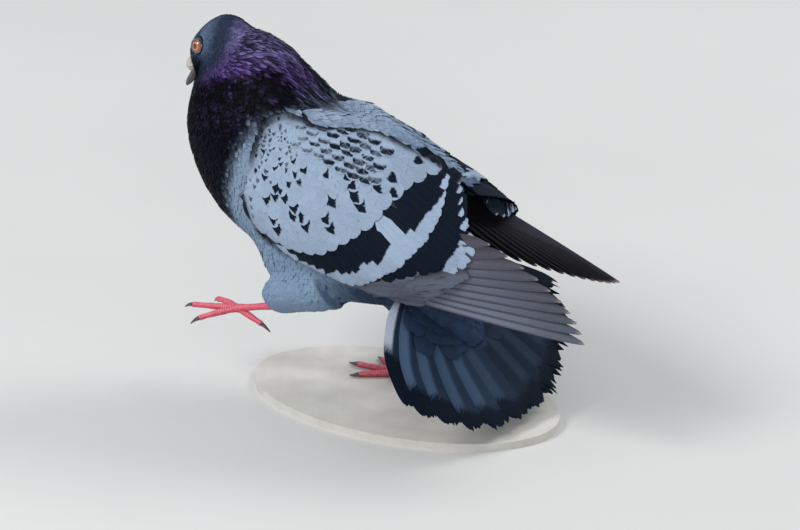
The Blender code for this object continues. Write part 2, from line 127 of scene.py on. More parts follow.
def solids(*nodes):
    """The points of some CAD nodes in the bird's frame, with doubles merged, and their triangles."""
    points, triangles, count = [], [], 0
    for node in nodes:
        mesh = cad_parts[node].data
        mesh.calc_loop_triangles()
        place = np.empty(len(mesh.vertices) * 3, np.float32)
        mesh.vertices.foreach_get("co", place)
        corners = np.empty(len(mesh.loop_triangles) * 3, np.int32)
        mesh.loop_triangles.foreach_get("vertices", corners)
        points.append((place.reshape(-1, 3) - SHIFT) / MM)
        triangles.append(corners.reshape(-1, 3) + count)
        count += len(mesh.vertices)
    merged, index = np.unique(np.round(np.concatenate(points), 3), axis=0, return_inverse=True)
    triangles = index.reshape(-1)[np.concatenate(triangles)]
    same = (triangles == np.roll(triangles, 1, axis=1)).any(axis=1)
    return merged, triangles[~same]


def tree_of(*nodes):
    """The faces of some CAD nodes, to be searched."""
    return BVHTree.FromPolygons(*(part.tolist() for part in solids(*nodes)))


def normals_of(points, faces):
    """A smooth normal at each point, and one for each face, of a mesh of triangles or quads."""
    a, b, c = (points[faces[:, k]] for k in range(3))
    d = points[faces[:, -1]]
    facing = np.cross(c - a, d - b) if faces.shape[1] == 4 else np.cross(b - a, c - a)
    total = np.zeros_like(points)
    for k in range(faces.shape[1]):
        np.add.at(total, faces[:, k], facing)
    total = unit(total)
    return total, unit(total[faces].mean(axis=1))


def largest(points, faces):
    """The largest of the separate shells of a mesh."""
    label = np.arange(len(points))
    while True:
        lowest = label[faces].min(axis=1)
        after = label.copy()
        for k in range(faces.shape[1]):
            np.minimum.at(after, faces[:, k], lowest)
        after = after[after]
        if (after == label).all():
            break
        label = after
    names, sizes = np.unique(label, return_counts=True)
    keep = label == names[sizes.argmax()]
    order = np.cumsum(keep) - 1
    return points[keep], order[faces[keep[faces].all(axis=1)]]


def remeshed(nodes, voxel, rounds, swell=0.0):
    """One even, smooth shell over some CAD nodes, each first swollen a little so that their gaps close."""
    shells, start = [[], []], 0
    for node in nodes:
        points, triangles = solids(node)
        points = points + normals_of(points, triangles)[0] * swell
        shells[0].append(points)
        shells[1].append(triangles + start)
        start += len(points)
    mesh = bpy.data.meshes.new("shell")
    mesh.from_pydata((np.concatenate(shells[0]) * MM).tolist(), [], np.concatenate(shells[1]).tolist())
    thing = bpy.data.objects.new("shell", mesh)
    bpy.context.collection.objects.link(thing)
    even = thing.modifiers.new("even", "REMESH")
    even.mode = "VOXEL"
    even.voxel_size = voxel * MM
    soften = thing.modifiers.new("soften", "SMOOTH")
    soften.factor = 0.5
    soften.iterations = rounds
    result = thing.evaluated_get(bpy.context.evaluated_depsgraph_get()).to_mesh()
    points = np.empty(len(result.vertices) * 3)
    result.vertices.foreach_get("co", points)
    faces = np.empty(len(result.loops), np.int32)
    result.loops.foreach_get("vertex_index", faces)
    bpy.data.objects.remove(thing)
    bpy.data.meshes.remove(mesh)
    return largest(points.reshape(-1, 3) / MM, faces.reshape(-1, 4))


class Surface:
    """A shell that feathers are laid along."""

    def __init__(self, points, faces):
        self.points, self.faces = points, faces
        self.normals, self.facing = normals_of(points, faces)
        self.tree = BVHTree.FromPolygons(points.tolist(), faces.tolist())

    def nearest(self, places):
        """The nearest places on the shell, and its smooth normals there."""
        found = [self.tree.find_nearest(place) for place in places.tolist()]
        index = np.array([hit[2] for hit in found])
        return np.array([hit[0][:] for hit in found]), self.facing[index]

    def depth(self, reach):
        """How thick the solid is under each point, up to reach."""
        result = np.full(len(self.points), float(reach))
        for k, (place, normal) in enumerate(zip(self.points.tolist(), self.normals.tolist())):
            inwards = -Vector(normal)
            hit = self.tree.ray_cast(Vector(place) + inwards * 0.05, inwards, reach)
            if hit[0] is not None:
                result[k] = hit[3]
        return result

    def scatter(self, spacing, wanted):
        """Roots spread evenly over the shell, spacing(places) apart, where wanted(places) holds."""
        # More places than will fit are drawn, and each that is kept clears the others near it.
        corners = np.concatenate([self.faces[:, [0, 1, 2]], self.faces[:, [0, 2, 3]]])
        a, b, c = (self.points[corners[:, k]] for k in range(3))
        area = np.linalg.norm(np.cross(b - a, c - a), axis=1) / 2
        apart = spacing((a + b + c) / 3)
        weight = area / apart**2
        count = int(weight.sum() * 2.2)
        chosen = RANDOM.choice(len(corners), count, p=weight / weight.sum())
        s, t = RANDOM.random((2, count, 1))
        s, t = np.where(s + t > 1, 1 - s, s), np.where(s + t > 1, 1 - t, t)
        places = a[chosen] + (b - a)[chosen] * s + (c - a)[chosen] * t
        keep = wanted(places)
        places, apart = places[keep], apart[chosen][keep]
        tree = kdtree.KDTree(len(places))
        for k, place in enumerate(places.tolist()):
            tree.insert(place, k)
        tree.balance()
        roots, taken = [], np.zeros(len(places), bool)
        for k, place in enumerate(places.tolist()):
            if not taken[k]:
                roots.append(k)
                taken[[hit[1] for hit in tree.find_range(place, apart[k])]] = True
        return places[roots]


# ---- Pieces ----

def add_piece(name, points, faces, material, values=None, flat_map=None):
    """A smooth mesh object that rides on the bird, with values for its finish at its points and its bake map."""
    mesh = bpy.data.meshes.new(name)
    mesh.vertices.add(len(points))
    mesh.vertices.foreach_set("co", to_model(points).ravel())
    mesh.loops.add(faces.size)
    mesh.loops.foreach_set("vertex_index", faces.ravel().astype(np.int32))
    mesh.polygons.add(len(faces))
    mesh.polygons.foreach_set("loop_start", np.arange(0, faces.size, faces.shape[1], dtype=np.int32))
    mesh.update(calc_edges=True)
    for key, value in (values or {}).items():
        if value.ndim == 2:
            layer = mesh.attributes.new(key, "FLOAT_COLOR", "POINT")
            opaque = np.concatenate([value, np.ones((len(value), 1))], axis=1)
            layer.data.foreach_set("color", opaque.ravel())
        else:
            mesh.attributes.new(key, "FLOAT", "POINT").data.foreach_set("value", value)
    if flat_map is not None:
        mesh.uv_layers.new(name="OFBake").data.foreach_set("uv", flat_map[faces.ravel()].ravel())
    mesh.shade_smooth()
    mesh.materials.append(material)
    piece = bpy.data.objects.new(name, mesh)
    bpy.context.collection.objects.link(piece)
    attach(piece, "root")
    return piece


def grid_faces(count, rows, columns):
    """The quads of count grids of rows by columns points that follow each other."""
    row, column = np.meshgrid(np.arange(rows - 1), np.arange(columns - 1), indexing="ij")
    first = (row * columns + column).ravel()
    quads = np.stack([first, first + columns, first + columns + 1, first + 1], axis=1)
    return (np.arange(count)[:, None, None] * rows * columns + quads).reshape(-1, 4)


class Vanes:
    """Feathers gathered for one piece, each a grid from root to tip, with what its finish needs."""

    KEYS = ("mark", "barb", "vane", "edge", "chance", "gloss")

    def __init__(self):
        self.points, self.faces, self.maps, self.count = [], [], [], 0
        self.values = {key: [] for key in self.KEYS + ("tint",)}

    def add(self, grid, places, patch, tint, length, width, blunt, along=None, **values):
        """grid is (feathers, rows, columns, 3). places are the feathers' on the flat map, patch its size there."""
        count, rows, columns = grid.shape[:3]
        if along is None:
            along = np.linspace(0, 1, rows)[None, :, None]
        along = along * np.ones((count, 1, columns))
        across = np.linspace(-1, 1, columns)[None, None, :] * np.ones((count, rows, 1))
        outline = blade(along, blunt)
        wide = across * width * outline
        far = along * length
        chance = RANDOM.random((count, 1, 1)) * np.ones((1, rows, columns))
        known = {
            "vane": wide,
            "barb": far - np.abs(wide) * 0.8,
            "edge": np.minimum((1 - along) * length, (1 - np.abs(across)) * width * outline),
            "chance": chance,
            "mark": np.full(grid.shape[:3], PLAIN),
            "gloss": np.zeros(grid.shape[:3]),
        }
        known.update({key: value * np.ones(grid.shape[:3]) for key, value in values.items()})
        for key in self.KEYS:
            self.values[key].append(known[key].ravel())
        self.values["tint"].append((tint * np.ones(grid.shape)).reshape(-1, 3))
        spot = np.stack([across, along * 2 - 1], axis=-1) * (patch / 2)
        self.maps.append((places[EACH] + spot).reshape(-1, 2))
        self.faces.append(grid_faces(count, rows, columns) + self.count)
        self.points.append(grid.reshape(-1, 3))
        self.count += count * rows * columns

    def add_sides(self, sides, places, patch, tint, length, width, blunt=0.55, mark=PLAIN):
        """One feather's grids, one for each side that shows: 1 is its upper side, and -1 its lower one."""
        mark = mark * np.ones(tint.shape[:2])
        for (way, grid), place in zip(sides, places):
            self.add(grid[None, :, ::way], place[None], patch, tint[None, :, ::way], length, width, blunt,
                     mark=mark[None, :, ::way])

    def piece(self, name, slot):
        """The feathers as one object."""
        values = {key: np.concatenate(value) for key, value in self.values.items()}
        return add_piece(name, np.concatenate(self.points), np.concatenate(self.faces), FEATHER,
                         values, np.concatenate(self.maps))


def blade(along, blunt):
    """The half width of a feather from root to tip, as a share of its greatest, which it keeps as far as blunt."""
    end = np.clip((along - blunt) / (1.005 - blunt), 0, 1)
    return (0.35 + 0.65 * ramp(along, 0, 0.35)) * np.sqrt(1 - end**2.2)


def cells(count):
    """Places in rows that fill the flat map, one for each of count feathers, and the size of a patch."""
    side = math.ceil(math.sqrt(count))
    index = np.arange(count)
    return (np.stack([index % side, index // side], axis=1) + 0.5) / side, 0.8 / side


# ---- Finishes ----

class Finish:
    """A material under construction."""

    def __init__(self, name, **sockets):
        self.material = bpy.data.materials.new(name)
        self.material.use_nodes = True
        self.nodes, self.links = self.material.node_tree.nodes, self.material.node_tree.links
        self.shader = self.nodes["Principled BSDF"]
        for key, value in sockets.items():
            self.shader.inputs[key.replace("_", " ")].default_value = value

    def node(self, kind, inputs=None, **settings):
        """A node with its settings, whose inputs are values or other nodes' outputs."""
        made = self.nodes.new("ShaderNode" + kind)
        for key, value in settings.items():
            setattr(made, key, value)
        for key, value in (inputs or {}).items():
            self.plug(value, made.inputs[key])
        return made

    def plug(self, value, socket):
        """Links an output to a socket, or sets its value."""
        if isinstance(value, bpy.types.NodeSocket):
            self.links.new(value, socket)
        else:
            socket.default_value = value

    def value(self, name):
        """A number kept at the mesh's points."""
        return self.node("Attribute", attribute_name=name).outputs["Fac"]

    def tint(self, name):
        """A colour kept at the mesh's points."""
        return self.node("Attribute", attribute_name=name).outputs["Color"]

    def place(self):
        """The place on the object."""
        return self.node("TexCoord").outputs["Object"]

    def sum(self, operation, *terms, clamp=False):
        """A sum of one, two or three terms."""
        made = self.node("Math", operation=operation, use_clamp=clamp)
        for k, term in enumerate(terms):
            self.plug(term, made.inputs[k])
        return made.outputs[0]

    def blend(self, share, a, b, way="MIX"):
        """From colour a to colour b."""
        made = self.node("Mix", data_type="RGBA", blend_type=way)
        self.plug(share, made.inputs[0])
        self.plug(a, made.inputs[6])
        self.plug(b, made.inputs[7])
        return made.outputs[2]

    def noise(self, vector, scale, detail=2.0):
        """Noise from 0 to 1."""
        return self.node("TexNoise", {"Vector": vector, "Scale": scale, "Detail": detail}).outputs["Fac"]

    def drive(self, socket, output):
        """Links an output to one of the shader's sockets."""
        self.links.new(output, self.shader.inputs[socket])

    def shaded(self, tint, shade):
        """The base colour: a tint made darker or lighter by a shade."""
        grey = self.node("CombineColor", {0: shade, 1: shade, 2: shade}).outputs[0]
        self.drive("Base Color", self.blend(1.0, tint, grey, "MULTIPLY"))

    def bump(self, height, strength, depth):
        """Relief of a depth in metres."""
        self.drive("Normal", self.node("Bump", {"Height": height, "Strength": strength, "Distance": depth}).outputs[0])


def feather_finish():
    """Barbs, a dark shaft and dark markings with ragged edges, over the colour kept at the points."""
    finish = Finish("feather", Roughness=0.62, Specular_IOR_Level=0.05)
    barb, vane, chance = (finish.value(key) for key in ("barb", "vane", "chance"))
    side = finish.sum("SIGN", vane)
    seed = finish.sum("MULTIPLY_ADD", chance, 61.0, side)
    along_barb = finish.sum("MULTIPLY", finish.sum("ABSOLUTE", vane), 0.18)

    def barbs(pitch, shift):
        """Noise drawn out along the barbs, which stand pitch apart."""
        place = finish.node("CombineXYZ", {0: finish.sum("MULTIPLY", barb, 1 / pitch), 1: along_barb,
                                           2: finish.sum("ADD", seed, shift)})
        return finish.noise(place.outputs[0], 1.0)

    coarse, fine = barbs(1.1, 0.0), barbs(0.33, 9.0)
    ragged = finish.sum("MULTIPLY_ADD", finish.sum("SUBTRACT", coarse, 0.5), 2.0, finish.value("mark"))
    dark = finish.sum("MULTIPLY_ADD", ragged, 1.1, 0.5, clamp=True)
    shade = finish.sum("MULTIPLY_ADD", fine, 0.40, 0.80)
    shade = finish.sum("MULTIPLY", shade, finish.sum("MULTIPLY_ADD", coarse, 0.24, 0.88))
    marked = finish.blend(dark, finish.tint("tint"), (*colour(12, 21, 33), 1))
    shaft = finish.sum("MULTIPLY_ADD", finish.sum("ABSOLUTE", vane), -9.0, 1.6, clamp=True)
    shaft = finish.sum("MULTIPLY", shaft, finish.sum("MULTIPLY_ADD", finish.value("edge"), 0.3, -0.1, clamp=True))
    marked = finish.blend(finish.sum("MULTIPLY", shaft, 0.25), marked, (*colour(50, 54, 64), 1))
    finish.shaded(marked, shade)
    gloss = finish.value("gloss")
    finish.drive("Metallic", finish.sum("MULTIPLY", gloss, 0.7))
    finish.drive("Roughness", finish.sum("MULTIPLY_ADD", gloss, -0.2, 0.62))
    finish.bump(fine, 0.4, 0.0001)
    return finish.material


def skin_finish():
    """The down on the skin between the feathers."""
    finish = Finish("skin", Roughness=0.85, Specular_IOR_Level=0.1)
    fleck = finish.sum("MULTIPLY_ADD", finish.noise(finish.place(), 900.0), 0.5, 0.45)
    finish.shaded(finish.tint("tint"), fleck)
    finish.bump(fleck, 0.6, 0.0004)
    return finish.material


def worn_finish(name, dark, pale, scale, rough, relief, **sockets):
    """Horn, bare skin or paint: two tones mottled at a scale, with fine relief."""
    finish = Finish(name, **sockets)
    place = finish.place()
    broad, fine = finish.noise(place, scale, 4.0), finish.noise(place, scale * 5)
    share = finish.sum("MULTIPLY_ADD", broad, 2.0, -0.5, clamp=True)
    finish.drive("Base Color", finish.blend(share, (*colour(*dark), 1), (*colour(*pale), 1)))
    finish.drive("Roughness", finish.sum("MULTIPLY_ADD", fine, 0.25, rough - 0.12))
    finish.bump(finish.sum("ADD", broad, fine), 0.5, relief)
    return finish.material


def painted_finish(name, scale, relief, rough, **sockets):
    """The colour kept at the points, mottled a little, with fine relief."""
    finish = Finish(name, **sockets)
    broad = finish.noise(finish.place(), scale, 3.0)
    finish.shaded(finish.tint("tint"), finish.sum("MULTIPLY_ADD", broad, 0.5, 0.75))
    finish.drive("Roughness", finish.sum("MULTIPLY_ADD", broad, 0.3, rough - 0.15))
    finish.bump(broad, 0.4, relief)
    return finish.material


FEATHER = feather_finish()


# ---- Markings ----

SLATE = colour(96, 112, 138)
SLATE_DARK = colour(40, 48, 68)
PURPLE = colour(88, 68, 126)
PURPLE_PALE = colour(102, 94, 138)
BLACK = colour(6, 7, 13)
NAVY = colour(11, 18, 32)
TEAL = colour(84, 108, 122)
BREAST = colour(122, 140, 162)
FLANK = colour(118, 139, 163)
VENT = colour(44, 60, 84)
RUMP = colour(72, 88, 112)
MANTLE = colour(132, 148, 169)
COVERT = colour(144, 160, 181)
WING_REAR = colour(24, 34, 48)
# The underwing's dark feathers with painted shade, laid on the breast under the wrist.
UNDER_WING_AND_SHADE = colour(44, 38, 50)


def blackness(points):
    """1 on the dark neck and crop, 0 on the grey body behind and below."""
    x, y, z = np.moveaxis(points, -1, 0)
    past = y + 19 + 0.8 * np.maximum(np.abs(x) - 15, 0) + 0.42 * np.maximum(177 - z, 0) + 1.2 * blotches(points, 9, 3)
    past = past + 4.5 * ramp(np.abs(x), 14, 27)
    return ramp(past, 7.5, -4) * ramp(z, 98, 112)


def headness(points):
    """1 on the slate head, 0 on the neck."""
    _, y, z = np.moveaxis(points, -1, 0)
    return ramp(-y - 72 - 0.9 * np.maximum(209 - z, 0), -3.5, 4.5)


def purpleness(points):
    """1 on the upper neck, where purple covers the black, and 0 below it."""
    _, y, z = np.moveaxis(points, -1, 0)
    edge = np.interp(y, [-85, -60, -48, -36, -24, -14], [192, 202, 209, 206, 197, 190])
    return ramp(z - edge + 2.5 * blotches(points, 8, 25), -4, 6)


def plumage(points):
    """The body's colour at points, and how much it shines like metal."""
    _, y, z = np.moveaxis(points, -1, 0)
    body = mix(BREAST, FLANK, ramp(z, 125, 85))
    body = mix(body, VENT * (1 + 0.25 * blotches(points, 7, 11)[..., None]), ramp(z, 100, 80) * ramp(y, 5, 35))
    body = mix(body, MANTLE * (1 + 0.10 * blotches(points, 4, 5)[..., None]), ramp(z, 168, 180))
    body = mix(body, RUMP, ramp(y, 66, 88) * ramp(z, 158, 146) * ramp(z, 84, 96))
    neck = blackness(points)
    upper = purpleness(points)
    streak = 0.5 + 0.5 * blotches(points * [1, 0.35, 1], 3.2, 21)
    violet = mix(PURPLE, PURPLE_PALE, ramp(z, 206, 220))
    dark = mix(BLACK, NAVY, ramp(z, 185, 150))
    sheen = upper * (0.45 + 0.55 * streak) + (1 - upper) * 0.4 * ramp(streak, 0.55, 0.95) * ramp(z, 155, 175)
    dark = mix(dark, violet, sheen)
    dark = mix(dark, TEAL, 0.4 * ramp(y, -36, -24) * ramp(z, 184, 194) * streak)
    head = headness(points)
    crown = mix(SLATE_DARK, SLATE, ramp(-y, 80, 94) * ramp(z, 199, 212))
    return mix(mix(body, dark, neck), crown, head), neck * (1 - head) * (0.2 + 0.5 * sheen)


# ---- Skin ----

# Where the raised thigh pushes out the belly's loose feathers, how far round it, and which way.
FLUFF_PLACE, FLUFF_RADIUS = np.array([34, -28, 71]), 17
FLUFF_PUSH = np.array([4.5, -8.5, -1.0])


def eye_frame(sign):
    """The middle of an eye, and the way it looks out."""
    return EYE_PLACE * [sign, 1, 1], unit(np.array([0.92 * sign, -0.37, 0.12]))


def within(points, wings):
    """How far points are inside the nearer wing's seam with the body, and below 0 how far outside it."""
    return np.max([wing.border(points) for wing in wings.values()], axis=0)


def under_wrist(points):
    """1 where the wing's front edge stands off the breast."""
    _, y, z = np.moveaxis(points, -1, 0)
    return ramp(z, 138, 131) * ramp(z, 95, 103) * ramp(y, -6, -14)


def folded(points):
    """1 where the seam is a deep fold: round the top of the shoulder, along the back, and under the wrist."""
    return np.maximum(ramp(points[..., 2], 146, 163), under_wrist(points))


def fluffed(flesh):
    """The flesh with the belly's loose feathers pushed out by the raised thigh."""
    near = bell(np.linalg.norm(flesh.points - FLUFF_PLACE, axis=1), 0, FLUFF_RADIUS)
    return Surface(flesh.points + near[:, None] * FLUFF_PUSH, flesh.faces)


def carved(flesh, wings):
    """The flesh with a soft lip on the body's side of each fold, and a groove on the wing's."""
    near = within(flesh.points, wings)
    push = (1.3 * bell(near, -4.5, 2.3) - 1.9 * bell(near, 0.8, 2.3)) * folded(flesh.points)
    return Surface(flesh.points + flesh.normals * push[:, None], flesh.faces)


def make_skin(flesh, wings):
    """The skin under the coat, sunk by the coat's depth, with creases round the wings darkened by painted shade and
    dark feather bases, and an opening at each eye.
    """
    near = within(flesh.points, wings)
    folds = bell(near, 0.4, 1.6) * (0.3 + 0.7 * folded(flesh.points))
    deep = 0.9 + 1.6 * ramp(np.linalg.norm(flesh.points - HEAD_CENTRE, axis=1), 20, 45) + 1.0 * folds
    # A thin part is sunk by less than half its thickness.
    points = flesh.points - flesh.normals * np.minimum(deep, 0.42 * flesh.depth(7))[:, None]
    for sign in (1, -1):
        middle, out = eye_frame(sign)
        far = (points - middle) @ out
        aside = np.linalg.norm(points - middle - far[:, None] * out, axis=1)
        floor = np.sqrt(np.clip(EYE_RADIUS**2 - aside**2, 0, None)) - 0.9
        sunk = np.where((aside < EYE_OPENING) & (far > floor), far - floor, 0)
        points = points - sunk[:, None] * out
    tint = mix(plumage(flesh.points)[0] * 0.75, WING_REAR, ramp(near, 2, 5) * ramp(flesh.points[:, 1], 68, 78))
    # The creases are darkened: painted shade, with the dark bases of the feathers there.
    tint = tint * (1 - 0.92 * folds)[:, None]
    skin = add_piece("skin", points, flesh.faces, skin_finish(), {"tint": tint})
    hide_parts(*FLESH)


# ---- Coat ----

# The size of one feather's patch on the coat's flat map.
COAT_PATCH = 0.003
# The coat's pieces part here: how far the head's feathers reach from its middle, and the rear's first place along y.
HEAD_REACH, REAR_START = 27, 20


def heading(points):
    """The lie of the coat: away from the bill on the head and neck, back along the trunk, and down the legs."""
    away = points - BILL_ROOT
    far = ramp(np.linalg.norm(away, axis=1), 75, 150)
    lie = mix(unit(away), np.array([0, 0.85, -0.52]), far)
    back = ramp(points[:, 2], 168, 178) * ramp(points[:, 1], -30, -15)
    along_back = np.stack([-0.26 * np.clip(points[:, 0] / 12, -1, 1), np.full(len(points), 0.95),
                           np.full(len(points), -0.28)], axis=1)
    lie = mix(lie, along_back, back)
    for line in LEG_LINES.values():
        gap = np.linalg.norm(points - line[1], axis=1)
        lie = mix(lie, unit(line[2] - line[0]), ramp(gap, 30, 16) * ramp(points[:, 2], 88, 74))
    return unit(lie)


def laid(surface, roots, length, width, blunt, sink, lift):
    """Feathers laid along a surface from their roots: each walks down the lie of the coat and rises to its tip."""
    rows, columns, wander = 5, 3, 0.1
    place, normal = surface.nearest(roots)
    grid = np.empty((len(roots), rows, columns, 3))
    yaw = RANDOM.normal(0, wander, (len(roots), 1))
    for row, along in enumerate(np.linspace(0, 1, rows)):
        lie = heading(place)
        ahead = unit(lie - normal * (lie * normal).sum(axis=1, keepdims=True))
        ahead = ahead * np.cos(yaw) + np.cross(normal, ahead) * np.sin(yaw)
        side = np.cross(normal, ahead)
        height = -sink + (sink + lift) * along
        for column, across in enumerate(np.linspace(-1, 1, columns)):
            near, up = place, normal
            if across:
                near, up = surface.nearest(place + side * (across * width * blade(along, blunt))[:, None])
            grid[:, row, column] = near + up * (height - 0.12 * across**2 * width)[:, None]
        if row < rows - 1:
            place, normal = surface.nearest(place + ahead * (length / (rows - 1))[:, None])
    return grid


def mantled(points):
    """1 on the back, whose feathers are long and soft, and 0 elsewhere."""
    return ramp(points[:, 2], 158, 170) * ramp(points[:, 1], -32, -18)


def hackled(points):
    """1 on the nape and the upper neck, whose feathers are long and narrow, and 0 elsewhere."""
    nape = ramp(points[:, 1], -52, -40) * ramp(points[:, 2], 176, 188)
    return np.maximum(purpleness(points), nape) * blackness(points) * (1 - headness(points))


def plain_length(points):
    """How long the feathers are, but for the neck and the back: least at the bill and on the heels."""
    far = np.linalg.norm(points - BILL_ROOT, axis=1)
    length = np.interp(far, [4, 10, 20, 32, 48, 70, 110], [1.3, 1.8, 2.6, 4.0, 6.2, 7.2, 8.0])
    length = length * (1 + 0.6 * ramp(points[:, 1], 55, 80))
    for line in LEG_LINES.values():
        length = length * (1 - 0.55 * ramp(np.linalg.norm(points - line[2], axis=1), 26, 6))
    return length


def length_at(points):
    """How long the feathers are, with long hackles and long feathers on the back."""
    far = np.linalg.norm(points - BILL_ROOT, axis=1)
    return plain_length(points) * (1 + 1.5 * hackled(points) * ramp(far, 26, 50) + 0.8 * mantled(points))


def spacing_at(points):
    """How far apart the feathers' roots are."""
    return np.maximum(0.6, (0.225 - 0.03 * hackled(points)) * plain_length(points))


def flat_places(points):
    """Places on the flat map: the skin unrolled round the line from the bill to the vent, filling the map."""
    line = unit(np.array([0, 0.8, -0.6]))
    up = np.array([0, 0.6, 0.8])
    middle = np.array([0, -30, 140])
    off = points - middle
    turn = np.arctan2(off[:, 0], off @ up)
    flat = np.stack([turn, off @ line], axis=1)
    low, high = flat.min(axis=0), flat.max(axis=0)
    return 0.01 + 0.98 * (flat - low) / (high - low)


def coat_colours(grid, roots):
    """Each feather's colours at its points: dark at the root, and on the neck black with here and there a glint."""
    count = len(grid)
    along = np.linspace(0, 1, grid.shape[1])[None, :, None, None]
    neck, hackle, mantle = (share[EACH][..., None] for share in (
        (blackness(roots) * (1 - headness(roots))) ** 2, hackled(roots), mantled(roots)))
    shifted = grid + RANDOM.normal(0, 1.0, (count, 1, 1, 3))
    shifted = mix(shifted, roots[EACH], 0.7 * hackle[..., 0])
    tint, gloss = plumage(shifted.reshape(-1, 3))
    tint, gloss = tint.reshape(grid.shape), gloss.reshape(grid.shape[:3])
    chance = RANDOM.random((count, 1, 1, 1))
    bright = ramp(chance, 0.62 - 0.5 * hackle, 1.0) * ramp(along, 0.3, 0.85)
    plain = 1 + (0.04 + 0.05 * mantle) * RANDOM.normal(0, 1, (count, 1, 1, 1))
    plain = plain * (1.02 - (0.08 + 0.16 * mantle) * (1 - along))
    shown = plain * (1 - neck) + neck * (0.28 - 0.10 * hackle + bright * (0.75 + 0.50 * hackle))
    return tint * np.clip(shown, 0.1, 1.35), gloss * (0.3 + 0.7 * bright[..., 0])


def make_coat(flesh, wings):
    """The body's small feathers, in pieces by region."""
    bare = tree_of("bill_upper", "bill_lower", "cere", "eye_left", "eye_right", "tarsus_left", "tarsus_right")

    def wanted(points):
        """Where the body's feathers have their roots: clear of the wings' seams."""
        ahead = ramp(points[:, 1], -12, -22) * folded(points)
        return within(points, wings) < -0.9 - 3.6 * ahead - 0.4 * mantled(points)

    roots = flesh.scatter(spacing_at, wanted)
    clear = np.array([bare.find_nearest(place, 1.0)[0] is None for place in roots.tolist()])
    roots = roots[clear]
    length = length_at(roots) * RANDOM.uniform(0.85, 1.15, len(roots))
    neck, hackle, back, inside = blackness(roots), hackled(roots), mantled(roots), within(roots, wings)
    width = length * (0.27 - 0.19 * hackle * ramp(length, 3, 8) - 0.06 * ramp(length, 6, 3) - 0.12 * back)
    blunt = 0.72 - 0.3 * np.maximum(hackle, 0.8 * back)
    sink = 0.3 + 0.10 * length
    lift = 0.08 + 0.02 * length * (1 + 1.2 * neck * ramp(roots[:, 2], 150, 175) + 0.9 * hackle - 0.6 * back)
    lift = lift + 0.8 * bell(inside, -4, 3) * folded(roots)
    grid = laid(flesh, roots, length, width, blunt, sink, lift)
    apart = np.ones(len(roots), bool)
    for sign in (1, -1):
        apart &= np.linalg.norm(grid - eye_frame(sign)[0], axis=-1).min(axis=(1, 2)) > EYE_RADIUS + 0.2
    grid, roots, length, width, blunt, neck, inside = (
        part[apart] for part in (grid, roots, length, width, blunt, neck, inside))
    tint, gloss = coat_colours(grid, roots)
    # Under the wing's front edge the breast is darkened: painted shade, with the underwing's dark feathers.
    under = bell(inside, -3, 4) * under_wrist(roots)
    tint = mix(tint, UNDER_WING_AND_SHADE, 0.85 * under[EACH])
    head = np.linalg.norm(roots - HEAD_CENTRE, axis=1) < HEAD_REACH
    dark = ~head & (neck > 0.5)
    rear = ~head & ~dark & (roots[:, 1] > REAR_START)
    left = roots[:, 0] > 0
    regions = {
        "coat_head": head,
        "coat_neck_left": dark & left,
        "coat_neck_right": dark & ~left,
        "coat_breast_left": ~head & ~dark & ~rear & left,
        "coat_breast_right": ~head & ~dark & ~rear & ~left,
        "coat_rear": rear,
    }
    slots = {"coat_head": "plumage_head", "coat_neck_left": "plumage_neck", "coat_neck_right": "plumage_neck"}
    places = flat_places(roots)
    for name, chosen in regions.items():
        vanes = Vanes()
        vanes.add(grid[chosen], places[chosen], COAT_PATCH, tint[chosen], length[chosen][EACH],
                  width[chosen][EACH], blunt[chosen][EACH], gloss=gloss[chosen])
        vanes.piece(name, slots.get(name, "plumage_grey"))


# ---- Wings ----

# A wing is unrolled onto a plane: y along the bird, and up round an axis inside the body that falls to the rear.
UNROLL = 57.0
SHOULDER = np.array([-26.0, 58.9])
# Feather rows are laid out there round the shoulder. Each table gives a row's tips or a bar's edge as falls below
# the line back, in degrees, and distances from the shoulder, in millimetres.
MEDIAN_TIPS = ([-15, -9, -4, 1, 6, 13, 22, 30, 40, 53, 66, 100], [108, 104, 93, 93, 89, 86, 86, 83, 81, 80, 77, 72])
BAR_TIPS = ([-10, -1, 6, 14, 22, 27, 35, 38, 43, 54, 60, 66, 72, 80],
            [109, 112, 108, 106, 99, 101, 102, 96, 98, 94, 92, 87, 82, 76])
GREATER_TIPS = ([-12, -8, -1, 3, 14, 21, 28, 34, 42, 48, 55, 61, 71, 82],
                [112, 112, 114, 115, 115, 113, 112, 109, 107, 106, 101, 95, 88, 80])
SECOND_BAR = ([-12, -6, 0, 5, 10, 17, 20, 25, 40], [118, 121, 127, 133, 132, 130, 135, 135, 120])
SECONDARY_TIPS = {
    "left": ([-12, -6, 0, 5, 10, 17, 20, 25, 28, 34, 40],
             [119, 122, 128, 140, 142, 140, 130, 124, 120, 115, 107]),
    "right": ([-12, -6, 0, 5, 10, 17, 22, 36, 44, 60],
              [119, 122, 128, 138, 140, 139, 137, 135, 129, 110]),
}
SECONDARY_LAST = {"left": 47, "right": 60}
# How wide the pale edge beyond the second bar is: the far wing, which is dark in the photo, has little of it, and the
# rest is painted dark as painted shade.
SECOND_BAR_SHARE = {"left": 1.0, "right": 0.12}
# The fall at which one greater covert stays pale across the bar, and one outside every row, for no such feather.
PALE_GAP, NO_GAP = 21.5, -90
# The larger dark checks: distance and fall of the feather's tip, and the check's length.
CHECKS = (
    (29, 44, 8), (38, 33, 6), (36, 43, 5), (40, 53, 7), (43, 67, 8), (50, 67, 9), (54, 82, 9), (63, 76, 8),
    (64, 58, 10), (71, 40, 7), (65, 29, 8), (69, 15, 11), (75, 21, 11), (80, 19, 12), (82, 10, 13), (71, 2, 9),
    (79, -6, 11), (94, -8, 5), (72, -12, 8), (86, -11, 5), (88, 2, 6), (62, -4, 8), (47, 24, 6), (60, 15, 5),
    (33, 57, 5), (44, 80, 6), (36, 84, 5), (57, 64, 7), (48, 76, 7), (71, 80, 9), (25, 62, 4), (30, 72, 5),
)
